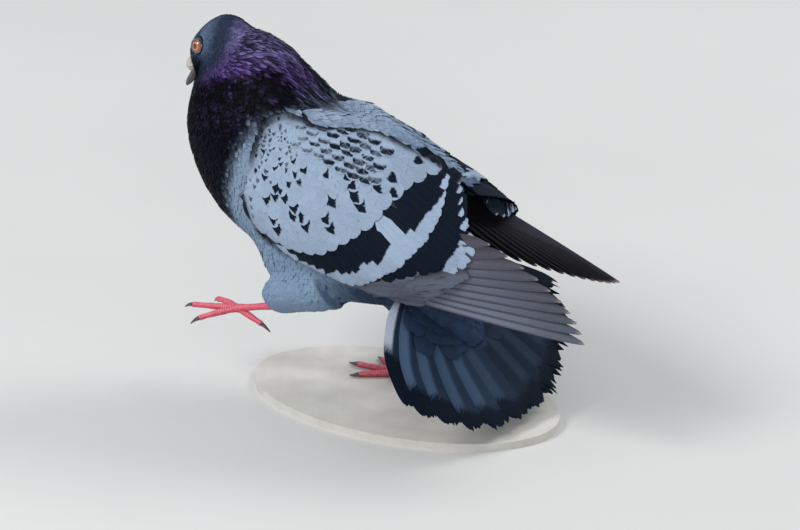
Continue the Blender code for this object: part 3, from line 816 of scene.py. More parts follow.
# The coverts over the roots of the primaries, on the same plane: their tips' distance back and their lie, by height,
# and how much darker than the primaries' tones they are: painted shade, against the strong light on their upturned
# faces.
HAND_EDGE = ([-20, -8, 10, 20], [71, 81, 93, 99])
HAND_LIE = ([-26, -8, 22], [-3, -18, -33])
HAND_PAINTED_SHADE = 0.74
# The seam of the wing with the body on the same plane: its front edge by height, and its top by distance back.
SEAM_FRONT = ([-15, 1, 32, 44, 53, 61, 69], [-33, -39, -40, -38, -36, -30, -17])
SEAM_TOP = {
    "left": ([-20, -5, 5, 15, 35, 54, 75, 100], [67, 65, 67, 72, 79, 81, 84, 88]),
    "right": ([-20, 5, 19, 35, 54, 72, 78, 84], [69, 70, 70, 68, 66, 64, 68, 92]),
}
# How far a wing's feathers sink into the seam, and how high they lie past it, under the body's feathers.
CREASE_SINK, HIDDEN_LIFT = 0.7, -1.7


def wing_axis(y):
    """The height of the axis that a wing is unrolled round."""
    return 122 - 0.22 * y


class Wing:
    """The smooth outer face of a wing, fitted to the solids."""

    POWERS = [(i, j) for i in range(6) for j in range(5) if i + j <= 6]
    REACH = 130.0

    def __init__(self, side, flesh):
        self.side, self.sign = side, 1 if side == "left" else -1
        # The right wing is held higher, so its rows are turned up and drawn in a little.
        self.turned, self.scale = (0, 1.0) if side == "left" else (-8, 0.97)
        self.tree, self.body = tree_of(f"wing_{side}", f"primaries_{side}"), tree_of(*FLESH[:5])
        # Rays are cast at the solids from outside, towards the axis. Past the wing's front they find the breast.
        seen = []
        for y in np.arange(-44.0, 150.0, 3.0):
            for turn in np.radians(np.arange(-34.0, 84.0, 3.0)):
                out = Vector((self.sign * math.cos(turn), 0, math.sin(turn)))
                start = Vector((0, y, wing_axis(y))) + out * self.REACH
                hit = self.tree.ray_cast(start, -out, self.REACH - 12)
                if hit[0] is None and y < 10 and turn > 0:
                    hit = flesh.tree.ray_cast(start, -out, self.REACH - 12)
                if hit[0] is not None:
                    seen.append((y, turn, self.REACH - hit[3]))
        y, turn, radius = np.array(seen).T
        self.low, self.high = (y.min(), turn.min()), (y.max(), turn.max())
        # The fit is made again without the places that the first one misses.
        terms = self.terms(y, turn)
        self.fit = np.linalg.lstsq(terms, radius, rcond=None)[0]
        close = np.abs(terms @ self.fit - radius) < 2.5
        self.fit = np.linalg.lstsq(terms[close], radius[close], rcond=None)[0]

    def terms(self, y, turn):
        """The fit's terms at places on the unrolled wing."""
        y, turn = (y - 50) / 100, turn / 1.2
        return np.stack([y**i * turn**j for i, j in self.POWERS], axis=-1)

    def radius(self, y, turn):
        """How far the outer face is from the axis."""
        held = np.clip(y, self.low[0], self.high[0]), np.clip(turn, self.low[1], self.high[1])
        return self.terms(*held) @ self.fit

    def place(self, flat, lift):
        """The point over a place on the unrolled wing, raised by lift."""
        y, turn = flat[..., 0], flat[..., 1] / UNROLL
        radius = self.radius(y, turn) + lift
        return np.stack([self.sign * radius * np.cos(turn), y, wing_axis(y) + radius * np.sin(turn)], axis=-1)

    def spots(self, far, fall):
        """Places on the unrolled wing at distances from the shoulder and falls below the line back, in degrees."""
        turned = np.radians(fall + self.turned)
        return SHOULDER + (far * self.scale)[:, None] * np.stack([np.cos(turned), -np.sin(turned)], axis=1)

    def holds(self, spots):
        """Which spots on the unrolled wing are on the wing itself."""
        points = self.place(spots, 0)
        apart = [min(self.body.find_nearest(place)[3], self.tree.find_nearest(place)[3]) for place in points.tolist()]
        return (self.border(points) > 0.7) & (np.array(apart) < 3)

    def border(self, points):
        """How far, in millimetres, points are inside the seam of the wing with the body; below 0 on the body."""
        flat = points.reshape(-1, 3)
        _, y, z = flat.T
        up = UNROLL * np.arctan2(z - wing_axis(y), self.sign * flat[:, 0])
        apart = np.array([self.body.find_nearest(place)[3] - self.tree.find_nearest(place)[3]
                          for place in flat.tolist()])
        ahead = y - np.interp(up, *SEAM_FRONT)
        under = np.interp(y, *SEAM_TOP[self.side]) - up
        high = np.minimum(np.minimum(ahead, under), apart + 1 + 14 * ramp(y, 10, -10))
        low = np.minimum(apart, ahead + 3)
        return (low + (high - low) * ramp(up, 2, 14)).reshape(points.shape[:-1])


def row_places(wing, tips, apart, start, last):
    """The tips of a row of feathers: their distances from the shoulder and their falls below the line back."""
    # The shortest rows run right round the front of the shoulder.
    falls = np.arange(-45 if tips[1][-1] > 14 else -150, last, 1.5)
    far = np.interp(falls, *tips)
    on = falls[wing.holds(wing.spots(far, falls))]
    fall, falls = on.min() + start * 0.5 * math.degrees(apart / far[0]), []
    while fall <= on.max():
        falls.append(fall)
        fall += math.degrees(apart / float(np.interp(fall, *tips)))
    falls = np.array(falls)
    falls = falls + RANDOM.normal(0, 1, len(falls)) * np.degrees(0.08 * apart / np.interp(falls, *tips))
    return np.interp(falls, *tips), falls


def held(surface, grid, lift):
    """The grid's points set between lift and a little more above the surface, where they lie over or in it."""
    points = grid.reshape(-1, 3)
    near, up = surface.nearest(points)
    height = ((points - near) * up).sum(axis=1)
    aside = np.linalg.norm(points - near - height[:, None] * up, axis=1)
    lift = np.broadcast_to(lift, grid.shape[:-1]).ravel()
    moved = near + up * np.clip(height, lift, lift + 0.5)[:, None]
    # A point in the surface is moved from further aside, so that none shows through near an edge.
    over = (aside < np.where(height < 0, 3.0, 0.8)) & (np.abs(height) < 10)
    return np.where(over[:, None], moved, points).reshape(grid.shape)


def wing_row(wing, flesh, ends, lie, length, width, base, paint, rows=11, columns=11, rise=0.5, tilt=0.12):
    """One row of a wing's feathers. paint gives the tint and the mark from places on the feathers."""
    far, fall = ends
    count = len(far)
    length, width = (size * RANDOM.uniform(0.96, 1.04, count) for size in (length, width))
    blunt = 1 - 0.95 * width / length
    point = np.radians(lie + wing.turned) + RANDOM.normal(0, 0.04, count)
    tip = wing.spots(far, fall)
    ahead = np.stack([np.cos(point), -np.sin(point)], axis=1)[EACH]
    side = np.stack([np.sin(point), np.cos(point)], axis=1)[EACH]
    along = (1 - (1 - np.linspace(0, 1, rows)) ** 1.6)[None, :, None]
    across = np.linspace(-1, 1, columns)[None, None, :]
    half = width[EACH] * blade(along, blunt[EACH])
    short = (1 - along) * length[EACH] + 0.3 * np.abs(RANDOM.normal(0, 1, (count, 1, columns))) * along**8
    flat = tip[EACH] - ahead * short[..., None] + side * (across * half)[..., None]
    lift = base + rise * (along - 0.6) + tilt * across - 0.3 * across**2
    grid = wing.place(flat, lift)
    border = wing.border(grid)
    seam = np.maximum(border, 0)
    shadow = 1 - 0.95 * bell(seam, 0, 2.3 + 2.4 * ramp(grid[..., 1], -10, -20)) * folded(grid)
    lift = lift - CREASE_SINK * np.exp(-seam / 2)
    grid = held(flesh, grid, lift + (HIDDEN_LIFT - lift) * ramp(border, 0.3, -1.5))
    aside = across * half
    tint, mark = paint(far, fall, short, aside, width[EACH])
    tint = tint * shadow[..., None]
    # The faces of both wings look outwards.
    grid, tint, mark = (part[:, :, ::wing.sign] for part in (grid, tint, mark))
    return grid, tint, mark, length[EACH], width[EACH], along, blunt[EACH]


def rim(short, aside, width):
    """How far places on feathers are from the round edge of their tips."""
    return np.where(short < width, width - np.hypot(width - np.minimum(short, width), aside), width - np.abs(aside))


def covert_paint(far, fall, short, aside, width):
    """Pale grey coverts, plain or with a dark check that points to the tip: large ones, and small ones at random."""
    count = len(far)
    chance = RANDOM.random(count)
    # The small ones keep off the crescents along the top.
    crest = (fall < np.interp(far, [14, 30, 45, 55, 66], [30, 16, 10, 9, 2])) & (far > 12) & (far < 66)
    small = ~crest & (chance < 0.48 * ramp(far, 48, 26) * ramp(fall, 10, 30) + 0.5 * ((fall > 88) & (far > 12)))
    size = np.where(small, RANDOM.uniform(2.4, 4.6, count), 0)
    for check_far, check_fall, check_size in CHECKS:
        aside_by = np.abs(np.radians(fall - check_fall) * far)
        near = aside_by.argmin()
        if aside_by[near] < 1.1 * width[near, 0, 0] and abs(far[near] - check_far) < 0.55 * width[near, 0, 0]:
            size[near] = 1.25 * check_size
    start = RANDOM.uniform(0.5, 1.3, count)[EACH]
    centre = RANDOM.uniform(-0.3, 0.3, count)[EACH] * width
    check = np.minimum((short - start) * 0.85 - np.abs(aside - centre), 0.7 * (size[EACH] + start - short))
    check = np.minimum(check, size[EACH] * 0.46 - np.abs(aside - centre))
    check = np.minimum(check * 1.7, (0.2 + 0.7 * ramp(size, 3.6, 5.5))[EACH])
    edge = rim(short, aside, width)
    mark = np.where((size > 0)[EACH], check, PLAIN)
    tint = COVERT * RANDOM.uniform(0.94, 1.05, (count, 1)) * (1 - 0.12 * ramp(fall, 15, -10)[:, None])
    return tint[EACH] * (0.94 + 0.06 * ramp(edge, 1.2, 0.4))[..., None], mark


def bar_paint(tips, bar, gap, share):
    """A paint for feathers that are dark up to a bar's edge and pale beyond it, with one pale feather at gap."""
    def paint(far, fall, short, aside, width):
        pale = share * (np.interp(fall, *tips) - np.interp(fall, *bar)) + RANDOM.normal(0, 0.7 * share, len(fall))
        slant = 0.22 * share * RANDOM.uniform(0, 1, len(fall))[EACH]
        mark = short - pale[EACH] - slant * (aside + width)
        light = (np.abs(fall - gap) < 2.2)[EACH] & (aside > 0.1 * width - 0.25 * short)
        tint = COVERT * RANDOM.uniform(0.96, 1.06, (len(fall), 1))
        return tint[EACH] * np.ones((*mark.shape, 1)), np.where(light, PLAIN, mark)
    return paint


def radial(fall):
    """The lie of feathers that spread from the shoulder."""
    return np.where(fall > 75, 75 + 0.25 * (fall - 75), np.maximum(fall, -30)) + 12 * ramp(fall, 40, 0)


def crest_places(wing, level, start):
    """The tips of a row of feathers along the back, at a level on the unrolled wing."""
    along = np.arange(-8.0 + start, 50, 8.4)
    along, up = (place + RANDOM.normal(0, 0.5, len(along)) - middle
                 for place, middle in zip((along, level - 0.08 * along), SHOULDER))
    far, fall = np.hypot(along, up), np.degrees(np.arctan2(-up, along))
    on = wing.holds(wing.spots(far, fall))
    return far[on], fall[on]


def crest_paint(far, fall, short, aside, width):
    """Pale grey coverts with a dark crescent inside a pale rim, stronger to the rear."""
    count = len(far)
    thick = (1.7 + 1.6 * ramp(far, 20, 60) * RANDOM.uniform(0.6, 1.4, count))[EACH]
    deep = short - 0.28 * aside**2 / width - 1.0 + 0.12 * aside
    mark = np.minimum(np.minimum(deep * 2.2, (thick - deep) * 0.8), (rim(short, aside, width) - 0.5) * 2)
    mark = np.minimum(mark, (0.7 * ramp(far, 8, 50) * RANDOM.uniform(0.3, 1.1, count) - 0.02)[EACH])
    tint = COVERT * RANDOM.uniform(0.90, 1.02, (count, 1))
    return tint[EACH] * np.ones((*mark.shape, 1)), mark


def hand_places(shift, start):
    """The tips of a row of feathers over the roots of the primaries, on the unrolled wing, and their lie."""
    up = np.arange(-24 + start, 24, 4.4)
    back = np.interp(up, *HAND_EDGE) + shift
    along, over = back - SHOULDER[0], up - SHOULDER[1]
    return (np.hypot(along, over), np.degrees(np.arctan2(-over, along))), np.interp(up, *HAND_LIE)


def hand_paint(far, fall, short, aside, width):
    """Brown-grey feathers with a paler streak, like the primaries they cover."""
    streak = ramp(aside / width, 0.6, -0.6) * RANDOM.uniform(0.6, 1.0, len(far))[EACH]
    # The primaries' tones, darkened as painted shade.
    return HAND_PAINTED_SHADE * mix(PRIMARY_GREY["left"], PRIMARY_SHEEN["left"], streak), np.full(streak.shape, PLAIN)


def make_coverts(wing, flesh):
    """The coverts and secondaries of a wing, rear rows first, each row over the one behind it."""
    groups = {}

    def add_row(group, ends, lie, *sizes, **settings):
        """One more row for a group: its lie, length, width, height above the skin and paint."""
        groups.setdefault(group, []).append(wing_row(wing, flesh, ends, lie, *sizes, **settings))

    if wing.sign > 0:
        for row, (shift, length) in enumerate(((13, 60.0), (-9, 46.0))):
            ends, lie = hand_places(shift, 2.2 * row)
            add_row("primary_coverts", ends, lie, length, 4.8, 0.05 + 0.1 * row, hand_paint, rise=0.1, tilt=-0.4)
    tips = SECONDARY_TIPS[wing.side]
    ends = row_places(wing, tips, 7.5, 0, SECONDARY_LAST[wing.side])
    paint = bar_paint(tips, SECOND_BAR, NO_GAP, SECOND_BAR_SHARE[wing.side])
    add_row("secondaries", ends, radial(ends[1]), 50.0, 6.6, 0.3, paint, rows=15, rise=0.8)
    ends = row_places(wing, GREATER_TIPS, 6.6, 1, 82)
    paint = bar_paint(GREATER_TIPS, BAR_TIPS, PALE_GAP, 1.0)
    add_row("greater_coverts", ends, radial(ends[1]), 30.0, 6.0, 0.7, paint, rows=12, rise=0.7)
    share, start = 1.0, 0.0
    while share > 0.05:
        tips = (MEDIAN_TIPS[0], [tip * share for tip in MEDIAN_TIPS[1]])
        size = np.interp(share, [0.15, 0.5, 1], [2.4, 4.8, 6.8])
        ends = row_places(wing, tips, size * 1.45, start, 170)
        add_row("lesser_coverts", ends, radial(ends[1]), size * 3.0, size, 1.0, covert_paint, rows=9, columns=9)
        start = 1 - start
        share -= size * 1.02 / 86
    for k in range(6):
        ends = crest_places(wing, 49 + 4.6 * k, 4.2 * (k % 2))
        if len(ends[0]):
            add_row("lesser_coverts", ends, np.full(len(ends[0]), 66.0), 13.0, 5.4, 1.45, crest_paint, tilt=-0.12)
    for name, rows in groups.items():
        vanes = Vanes()
        places, patch = cells(sum(len(row[0]) for row in rows))
        first = 0
        for grid, tint, mark, length, width, along, blunt in rows:
            last = first + len(grid)
            vanes.add(grid, places[first:last], patch, tint, length, width, blunt, along, mark=mark)
            first = last
        vanes.piece(f"{name}_{wing.side}", "wing")


# ---- Flight and tail feathers ----

# For each hand, three roots and three tips that a curve runs through, from the outermost primary to the innermost,
# and the way its upper face looks.
PRIMARY_ENDS = {
    "left": (((44, 40, 91), (44, 52, 104), (38, 70, 122)), ((24, 188, 72), (25, 168, 104), (26, 114, 132)),
             (1, 0, 0.3)),
    "right": (((-46, 60, 130), (-30, 64, 134), (-8, 70, 134)), ((-20, 190, 102), (-10, 173, 102), (0, 134, 107)),
              (-0.2, 0, 1)),
}
# The right hand has two more inside its ten, for the secondaries next to them.
PRIMARIES = {"left": 10, "right": 12}
PRIMARY_NARROW, PRIMARY_WIDE = 3.2, 8.5
# How thick a flight or tail feather is at its shaft.
FEATHER_THICK = 0.5
# The tail's fan: its feathers' number, its middle, how its face droops and rolls, the turn of its outermost feather,
# how far from the middle its feathers start and end, and how far they keep their width.
RECTRICES = 12
TAIL_CENTRE = np.array([0, 57, 88.0])
TAIL_DROOP = math.radians(45)
TAIL_ROLL = math.radians(6)
TAIL_EDGE = math.radians(61) * RECTRICES / (RECTRICES - 1)
TAIL_ROOT, TAIL_REACH = 20, 113
TAIL_BLUNT = 0.86
# The right hand's tones are the left's darkened: painted shade on the far wing.
PRIMARY_GREY = {"left": colour(78, 73, 82), "right": colour(25, 23, 27)}
PRIMARY_SHEEN = {"left": colour(108, 116, 132), "right": colour(44, 44, 54)}
TAIL_GREY = colour(32, 46, 64)
TAIL_PALE = colour(76, 96, 122)
TAIL_WHITE = colour(180, 188, 202)
WORN = colour(168, 150, 136)


def through(points):
    """A function giving the point at v from 0 to 1 on the smooth curve through three points."""
    a, b, c = (np.array(point, float) for point in points)
    return lambda v: a * (1 - v) * (1 - 2 * v) + b * 4 * v * (1 - v) + c * v * (2 * v - 1)


def quill(line, outwards, first, second, lift, rows, columns, fray, blunt, point):
    """One flight feather along a line of points: a ridged shaft, two vanes of given widths, and a worn tip.

    fray is how uneven the tip is, blunt how far it keeps its width, and point how much its rim falls back.
    """
    along = np.linspace(0, 1, rows)[:, None]
    across = np.linspace(-1, 1, columns)[None, :]
    ahead = unit(np.gradient(line, axis=0))
    side = unit(np.cross(outwards, ahead))
    aside = np.where(across < 0, across * first, across * second) * blade(along * 0.98, blunt)
    length = np.linalg.norm(np.diff(line, axis=0), axis=1).sum()
    worn = RANDOM.normal(0, fray, (1, columns)) * along**8 - point * np.abs(across) ** 2 * second / length * along**2
    ridge = 0.35 * bell(across, 0, 0.2) * (1 - 0.7 * along)
    height = lift + ridge - 0.5 * across**2
    grid = line[:, None] + side[:, None] * aside[..., None] + ahead[:, None] * (worn * length)[..., None]
    return grid + unit(np.asarray(outwards, float)) * height[..., None], aside, length, (1 - along - worn) * length


def both_sides(grid, outwards):
    """A feather's upper and lower sides, far apart at the shaft and close at its rim."""
    across = np.linspace(-1, 1, grid.shape[1])[None, :, None]
    return (1, grid), (-1, grid - unit(np.asarray(outwards, float)) * FEATHER_THICK * (1 - 0.8 * across**2))


def make_primaries(side):
    """The folded flight feathers of a hand, the inner ones lying over the outer."""
    roots, tips, outwards = PRIMARY_ENDS[side]
    roots, tips = through(roots), through(tips)
    vanes = Vanes()
    count, rows, columns = PRIMARIES[side], 34, 15
    places, patch = cells(2 * count)
    for k in range(count):
        v = (k + 0.35) / PRIMARIES["left"]
        share = np.linspace(0, 1, rows)[:, None]
        line = roots(v) * (1 - share) + tips(v) * share
        up = roots(v + 0.05) - roots(v)
        inner_first = np.cross(outwards, tips(v) - roots(v)) @ up < 0
        first, second = (PRIMARY_NARROW, PRIMARY_WIDE)[::-1 if inner_first else 1]
        lift = -0.9 + 0.28 * min(k, 10)
        grid, aside, length, from_tip = quill(line, outwards, first, second, lift, rows, columns, 0.003, 0.4, 0.5)
        inner = -aside if inner_first else aside
        streak = ramp(inner, 4.5, 1.0) * ramp(inner, -3.0, -1.2) * (0.9 - 0.06 * k)
        tint = mix(PRIMARY_GREY[side], PRIMARY_SHEEN[side], streak * (0.7 + 0.3 * ramp(from_tip, 10, 60)))
        # A dark line along the vane's edge where the feathers overlap: painted shade.
        tint = tint * (1 - 0.25 * ramp(inner, -2.3, -3.0)[..., None] * ramp(from_tip, 4, 12)[..., None])
        tint = tint * (1 - 0.28 * ramp(from_tip, 70, 10))[..., None]
        tint = mix(tint, WORN, ramp(from_tip, 1.0, 0.3) * 0.6)
        tint = tint * (0.92 + 0.16 * RANDOM.random())
        vanes.add_sides(both_sides(grid, outwards), places[2 * k:2 * k + 2], patch, tint, length, PRIMARY_WIDE)
    piece = vanes.piece(f"primary_feathers_{side}", "flight_feather")
    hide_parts(f"primaries_{side}")


def tail_frame():
    """The tail's ways back, left and up from its face."""
    back = np.array([0, math.cos(TAIL_DROOP), -math.sin(TAIL_DROOP)])
    top = np.array([0, math.sin(TAIL_DROOP), math.cos(TAIL_DROOP)])
    left = np.array([1.0, 0, 0]) * math.cos(TAIL_ROLL) - top * math.sin(TAIL_ROLL)
    return back, left, unit(np.cross(left, back))


def tail_place(side, share):
    """A point on the fan: side is 1 at its left edge and -1 at its right, share runs from root to tip."""
    back, left, _ = tail_frame()
    angle = TAIL_EDGE * side * (1.2 - 0.27 * share - 0.10 * ramp(share, 0.6, 1.0) * np.maximum(side, 0))
    reach = TAIL_ROOT + (TAIL_REACH * (1 - 0.09 * side**2) - TAIL_ROOT) * share
    along, across = np.cos(angle) * reach, np.sin(angle) * reach
    return TAIL_CENTRE + np.multiply.outer(along, back) + np.multiply.outer(across, left)


def make_tail():
    """Twelve tail feathers, the middle pair on top: a pale outer vane, a dark inner one and a black band."""
    _, left, top = tail_frame()
    vanes = Vanes()
    places, patch = cells(2 * RECTRICES)
    rows, columns = 38, 17
    for k in range(RECTRICES):
        side = 1 - 2 * (k + 0.5) / RECTRICES
        order = min(k, RECTRICES - 1 - k)
        line = tail_place(side, np.linspace(0, 1, rows))
        outer = side > 0
        aside_way = np.cross(top, line[-1] - line[0]) @ left > 0
        outer_wide, inner_wide = (6.5 if order == 0 else 10.5), 14.5
        first, second = (inner_wide, outer_wide) if outer == aside_way else (outer_wide, inner_wide)
        grid, aside, length, from_tip = quill(line, top, first, second, -0.9 + 0.32 * order, rows, columns,
                                              0.010 + 0.02 * (side < -0.2), TAIL_BLUNT, 0.1)
        out = aside if outer == aside_way else -aside
        reach = length - from_tip
        pale = ramp(out, -0.5, 3.0) * (1 - 0.35 * ramp(out, 5, 10)) * ramp(reach, 5, 25)
        tint = mix(TAIL_GREY, TAIL_PALE, pale * (0.95 - 0.14 * order if outer else 0.25))
        if order == 0:
            tint = mix(tint, TAIL_WHITE, ramp(out, 0.4, 1.2) * ramp(reach, 62, 46))
        band = np.interp(order, [0, 1, 3, 5], [0.62, 0.76, 0.82, 0.83]) + 0.015 * RANDOM.normal()
        mark = (reach - length * band - 5 * ramp(out, 3, -3)) * 0.16
        # The right half of the fan, under the far wing, is darkened: painted shade.
        tint = tint * (0.92 + 0.16 * RANDOM.random()) * (0.7 if side < 0 else 1.0)
        vanes.add_sides(both_sides(grid, top), places[2 * k:2 * k + 2], patch, tint, length, inner_wide,
                        TAIL_BLUNT, mark)
    piece = vanes.piece("tail_feathers", "tail_feather")
    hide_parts("tail")


def make_tail_coverts():
    """Broad rounded coverts over the root of the tail, and more under it."""
    top = tail_frame()[2]
    wide, blunt, rows, columns = 8.5, 0.74, 15, 11
    for name, way, shade in (("tail_coverts_upper", 1, colour(33, 46, 66)), ("tail_coverts_lower", -1, VENT)):
        vanes = Vanes()
        sets = []
        for row, (reach, count) in enumerate(((0.47, 7), (0.39, 8), (0.31, 8), (0.24, 8))):
            for k in range(count):
                side = (2 * (k + 0.5 + 0.5 * (row % 2)) / (count + 0.5) - 1) * 0.84
                stray = RANDOM.normal(0, 0.03), RANDOM.normal(0, 0.02)
                sets.append((row, side + stray[0], reach * (1 - 0.12 * side**2) + stray[1]))
        places, patch = cells(len(sets))
        for (row, side, reach), place in zip(sets, places):
            share = np.linspace(max(0, reach - 0.45), reach, rows)
            line = tail_place(side * (0.75 + 0.25 * share / reach), share)
            grid, _, length, from_tip = quill(line, top, wide, wide, 0, rows, columns, 0.006, blunt, 0)
            lift = (1.3 + 0.7 * row + 2.4 * (1 - np.linspace(0, 1, rows)) ** 2 * (row > 0))[:, None, None]
            tint = shade * RANDOM.uniform(0.85, 1.1) * (0.75 + 0.4 * ramp(from_tip, 14, 1))[..., None]
            vanes.add_sides([(way, grid + top * lift * way)], place[None], patch, tint, length, wide, blunt)
        vanes.piece(name, "tail_feather")


# ---- Head details ----

# The eye's parts by their distance from its axis: the pupil's edge, where the iris reddens, and its dark rim.
PUPIL, REDDENING, IRIS = (1.75, 1.95), (2.2, 3.4), (3.5, 3.8)
# The ring of bare lid: how far out from the eye's middle it is, its radius, and its own half thickness.
LID_OUT, LID_RADIUS, LID_THICK = 3.75, 4.05, 0.62


def lathe(profile, around, middle, out, oval=0.0):
    """A surface turned round the way out, from (distance out, radius) pairs, as points and quads."""
    first = unit(np.cross(out, np.array([0, 0, 1.0])))
    second = np.cross(out, first)
    turn = np.linspace(0, 2 * math.pi, around, endpoint=False)
    far, radius = np.array(profile, float).T
    spin = np.cos(turn)[:, None] * first * (1 + oval) + np.sin(turn)[:, None] * second
    points = middle + far[:, None, None] * out + radius[:, None, None] * spin
    ring, step = np.meshgrid(np.arange(len(profile) - 1), np.arange(around), indexing="ij")
    after = (step + 1) % around
    quads = np.stack([ring * around + step, ring * around + after, (ring + 1) * around + after,
                      (ring + 1) * around + step], axis=-1).reshape(-1, 4)
    return points.reshape(-1, 3), quads


def make_eyes():
    """Each eye: a dark pupil in an orange iris that reddens outwards, under a wet surface, in a ring of bare lid."""
    wet = painted_finish("eye", 2500.0, 0.00002, 0.1, Coat_Weight=1.0, Coat_Roughness=0.03)
    bare = worn_finish("eyelid", (70, 68, 74), (118, 112, 114), 2500.0, 0.6, 0.00008)
    for side, sign in (("left", 1), ("right", -1)):
        middle, out = eye_frame(sign)
        angle = np.radians([0.5, 6, 12, 18, 22, 24, 28, 33, 38, 42, 45, 50, 60, 80, 110, 150, 179])
        radius = EYE_RADIUS * np.sin(angle)
        far = EYE_RADIUS * np.cos(angle)
        around = 40
        points, quads = lathe(np.stack([far, radius], axis=1), around, middle, out)
        # The back of the ball counts as far from the axis, so that it is dark.
        away = np.repeat(radius * np.where(far > 0, 1, 9), around)
        fleck = blotches(points, 0.7, 31)
        iris = mix(colour(206, 112, 34), colour(150, 50, 28), ramp(away, *REDDENING)) * (1 + 0.15 * fleck[:, None])
        tint = mix(colour(6, 5, 6), iris, ramp(away, *PUPIL))
        tint = mix(tint, colour(30, 20, 20), ramp(away, *IRIS))
        eye = add_piece(f"eyeball_{side}", points, quads, wet, {"tint": tint})
        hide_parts(f"eye_{side}")
        turn = np.linspace(0, 2 * math.pi, 9)
        ring = [(LID_OUT + LID_THICK * math.sin(a), LID_RADIUS + LID_THICK * math.cos(a)) for a in turn]
        around, beads = 44, 18
        points, quads = lathe(ring, around, middle, out, oval=0.06)
        above = np.linalg.norm(points - middle, axis=1) - EYE_RADIUS
        bead = np.sin(np.arange(len(points)) % around / around * 2 * math.pi * beads)
        points = points + out * (0.10 * bead)[:, None]
        points = points - out * (0.05 * above)[:, None]
        add_piece(f"eyelid_{side}", points, quads, bare)


def refined(node, name, material, voxel, rounds, shape=None):
    """A fine, smooth copy of a CAD node, with detail pushed out by shape(points, normals), which replaces it."""
    points, faces = remeshed((node,), voxel, rounds, swell=0.12)
    normals, _ = normals_of(points, faces)
    values = None
    if shape:
        push, values = shape(points, normals)
        points = points + normals * push[:, None]
    piece = add_piece(name, points, faces, material, values)
    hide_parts(node)
    return piece


def make_bill():
    """The two halves of the bill, and the swollen cere over the nostrils."""
    horn = worn_finish("bill", (44, 44, 50), (96, 94, 98), 900.0, 0.38, 0.00004, Specular_IOR_Level=0.5)
    chalk = worn_finish("cere", (150, 142, 134), (206, 198, 188), 1400.0, 0.8, 0.00012, Specular_IOR_Level=0.2)
    for half in ("upper", "lower"):
        refined(f"bill_{half}", f"mandible_{half}", horn, BILL_VOXEL, 4)

    def chalky(points, normals):
        """The swollen, uneven relief of the cere."""
        return 0.7 + 0.12 * blotches(points, 1.2, 51) + 0.05 * blotches(points, 0.5, 52), None

    refined("cere", "cere_lobes", chalk, CERE_VOXEL, 4, chalky)


# ---- Legs ----

TOES = ("hallux", "inner", "middle", "outer")
SKIN_RED = colour(206, 78, 98)
SKIN_PALE = colour(232, 160, 166)
SKIN_DARK = colour(150, 42, 58)
# The length of one scute, a plate of the foot's skin.
SCUTE = 1.55


def make_feet():
    """Scaly feet and shanks: plates across the front of the shank and the top of each toe, fine scales elsewhere."""
    scaly = painted_finish("leg", 1200.0, 0.00006, 0.45, Specular_IOR_Level=0.4)
    horn = worn_finish("claw", (48, 42, 44), (104, 94, 92), 1100.0, 0.35, 0.00003, Specular_IOR_Level=0.5)
    for side in ("left", "right"):
        claws = {toe: (np.array([*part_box(f"claw_{side}_{toe}")]) - SHIFT).mean(axis=0) / MM for toe in TOES}
        shank = solids(f"tarsus_{side}")[0]
        heel = LEG_LINES[side][2]
        # The foot's end of the shank is where its points are furthest from the heel.
        lower = shank[np.linalg.norm(shank - heel, axis=1).argsort()[-12:]].mean(axis=0)
        lines = [(lower, claws[toe]) for toe in TOES] + [(lower, heel)]

        def scutes(points, normals):
            """The relief and colours of plates in front and above, each a scute long, and of scales elsewhere."""
            gaps, places = [], []
            for start, end in lines:
                way = end - start
                share = np.clip((points - start) @ way / (way @ way), 0, 1)
                gaps.append(np.linalg.norm(points - start - share[:, None] * way, axis=1))
                places.append(share * np.linalg.norm(way))
            which = np.argmin(gaps, axis=0)
            far = np.array(places)[which, np.arange(len(points))]
            front = np.where(which == len(TOES), ramp(-normals[:, 1], -0.2, 0.4), ramp(normals[:, 2], -0.1, 0.4))
            plate = (far / SCUTE) % 1
            scale = ramp(np.minimum(plate, 1 - plate) * 2, 0, 0.35)
            small = 0.5 + 0.5 * blotches(points, 0.8, 61)
            relief = small + (scale - small) * front
            tint = mix(SKIN_DARK, SKIN_RED, ramp(relief, 0, 0.5))
            tint = mix(tint, SKIN_PALE, 0.35 * ramp(relief, 0.6, 1.0) * (0.6 + 0.4 * blotches(points, 4, 63)))
            return 0.24 * (relief - 0.6), {"tint": tint}

        refined(f"foot_{side}", f"toes_{side}", scaly, FOOT_VOXEL, 3, scutes)
        refined(f"tarsus_{side}", f"shank_{side}", scaly, FOOT_VOXEL, 3, scutes)
        for toe in TOES:
            refined(f"claw_{side}_{toe}", f"nail_{side}_{toe}", horn, CLAW_VOXEL, 3)


# ---- Base, light and camera ----

def make_base():
    """The stand's pale matt paint over wood."""
    paint = worn_finish("base_paint", (188, 184, 176), (206, 203, 196), 60.0, 0.75, 0.00006)
    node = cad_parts["stand_base"]
    node.data.materials.clear()
    node.data.materials.append(paint)


# Each soft light's name, place and size in metres, and power in watts.
LAMPS = (("key", (1.6, -1.2, 2.0), 1.1, 48), ("fill", (2.2, 1.6, 1.2), 1.6, 19), ("rim", (-1.6, 0.8, 1.9), 1.0, 24))


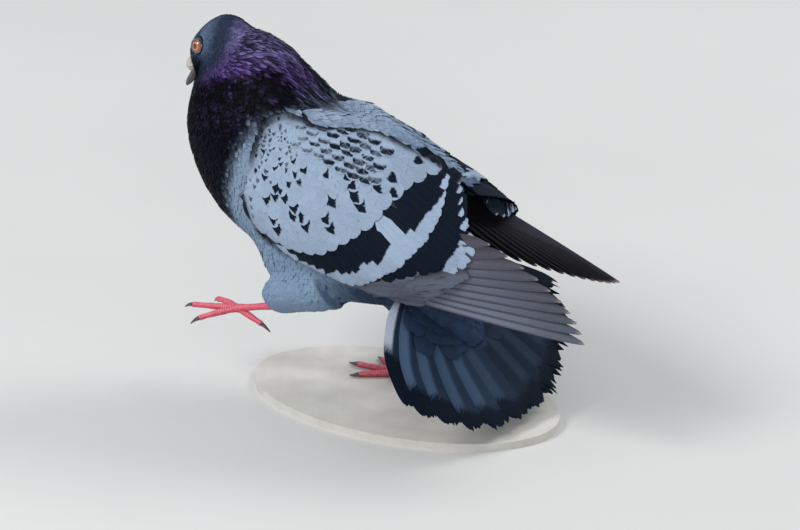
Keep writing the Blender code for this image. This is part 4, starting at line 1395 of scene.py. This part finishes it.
def make_stage():
    """A pale floor, soft lights that look at the bird's middle, and a plain pale sky."""
    bpy.ops.mesh.primitive_plane_add(size=14, location=(0, 0, 0))
    floor = bpy.context.object
    floor.name = "floor"
    floor.data.materials.append(worn_finish("floor", (200, 199, 196), (206, 205, 202), 4.0, 0.8, 0.0))
    world = bpy.data.worlds.new("studio")
    world.use_nodes = True
    sky = world.node_tree.nodes["Background"].inputs
    sky["Color"].default_value = (0.86, 0.92, 1.0, 1)
    sky["Strength"].default_value = 0.58
    bpy.context.scene.world = world
    for name, place, size, power in LAMPS:
        light = bpy.data.lights.new(name, "AREA")
        light.shape = "DISK"
        light.size = size
        light.energy = power
        lamp = bpy.data.objects.new(name, light)
        lamp.location = place
        lamp.rotation_euler = (Vector((0, 0, 0.12)) - Vector(place)).to_track_quat("-Z", "Y").to_euler()
        bpy.context.collection.objects.link(lamp)
    bpy.context.scene.view_settings.view_transform = "Standard"


# How far the middle of the view is from the standing foot, to the view's right and up it, in metres.
CAMERA_ASIDE, CAMERA_ABOVE = 0.02625, 0.0631


def make_camera():
    """A long lens, 30 degrees ahead of the bird's left side and 24 degrees above it, on a view 0.5 m wide."""
    azimuth, elevation = math.radians(120), math.radians(24)
    distance, wide, sensor = 16.0, 0.5, 36.0
    right = Vector((math.cos(azimuth), math.sin(azimuth), 0))
    back = Vector((math.sin(azimuth) * math.cos(elevation), -math.cos(azimuth) * math.cos(elevation),
                   math.sin(elevation)))
    foot = Vector(to_model(np.array([-22.0, 0, 0])))
    middle = foot + right * CAMERA_ASIDE + back.cross(right) * CAMERA_ABOVE
    data = bpy.data.cameras.new("camera")
    data.sensor_width = sensor
    data.lens = sensor * distance / wide
    camera = bpy.data.objects.new("camera", data)
    camera.location = middle + back * distance
    camera.rotation_euler = back.to_track_quat("Z", "Y").to_euler()
    bpy.context.collection.objects.link(camera)
    bpy.context.scene.camera = camera


flesh = Surface(*remeshed(FLESH, FLESH_VOXEL, 6, swell=0.25))
wings = {side: Wing(side, flesh) for side in ("left", "right")}
flesh = fluffed(carved(flesh, wings))
make_skin(flesh, wings)
make_coat(flesh, wings)
for side, wing in wings.items():
    make_coverts(wing, flesh)
    make_primaries(side)
make_tail()
make_tail_coverts()
make_eyes()
make_bill()
make_feet()
make_base()
make_stage()
make_camera()
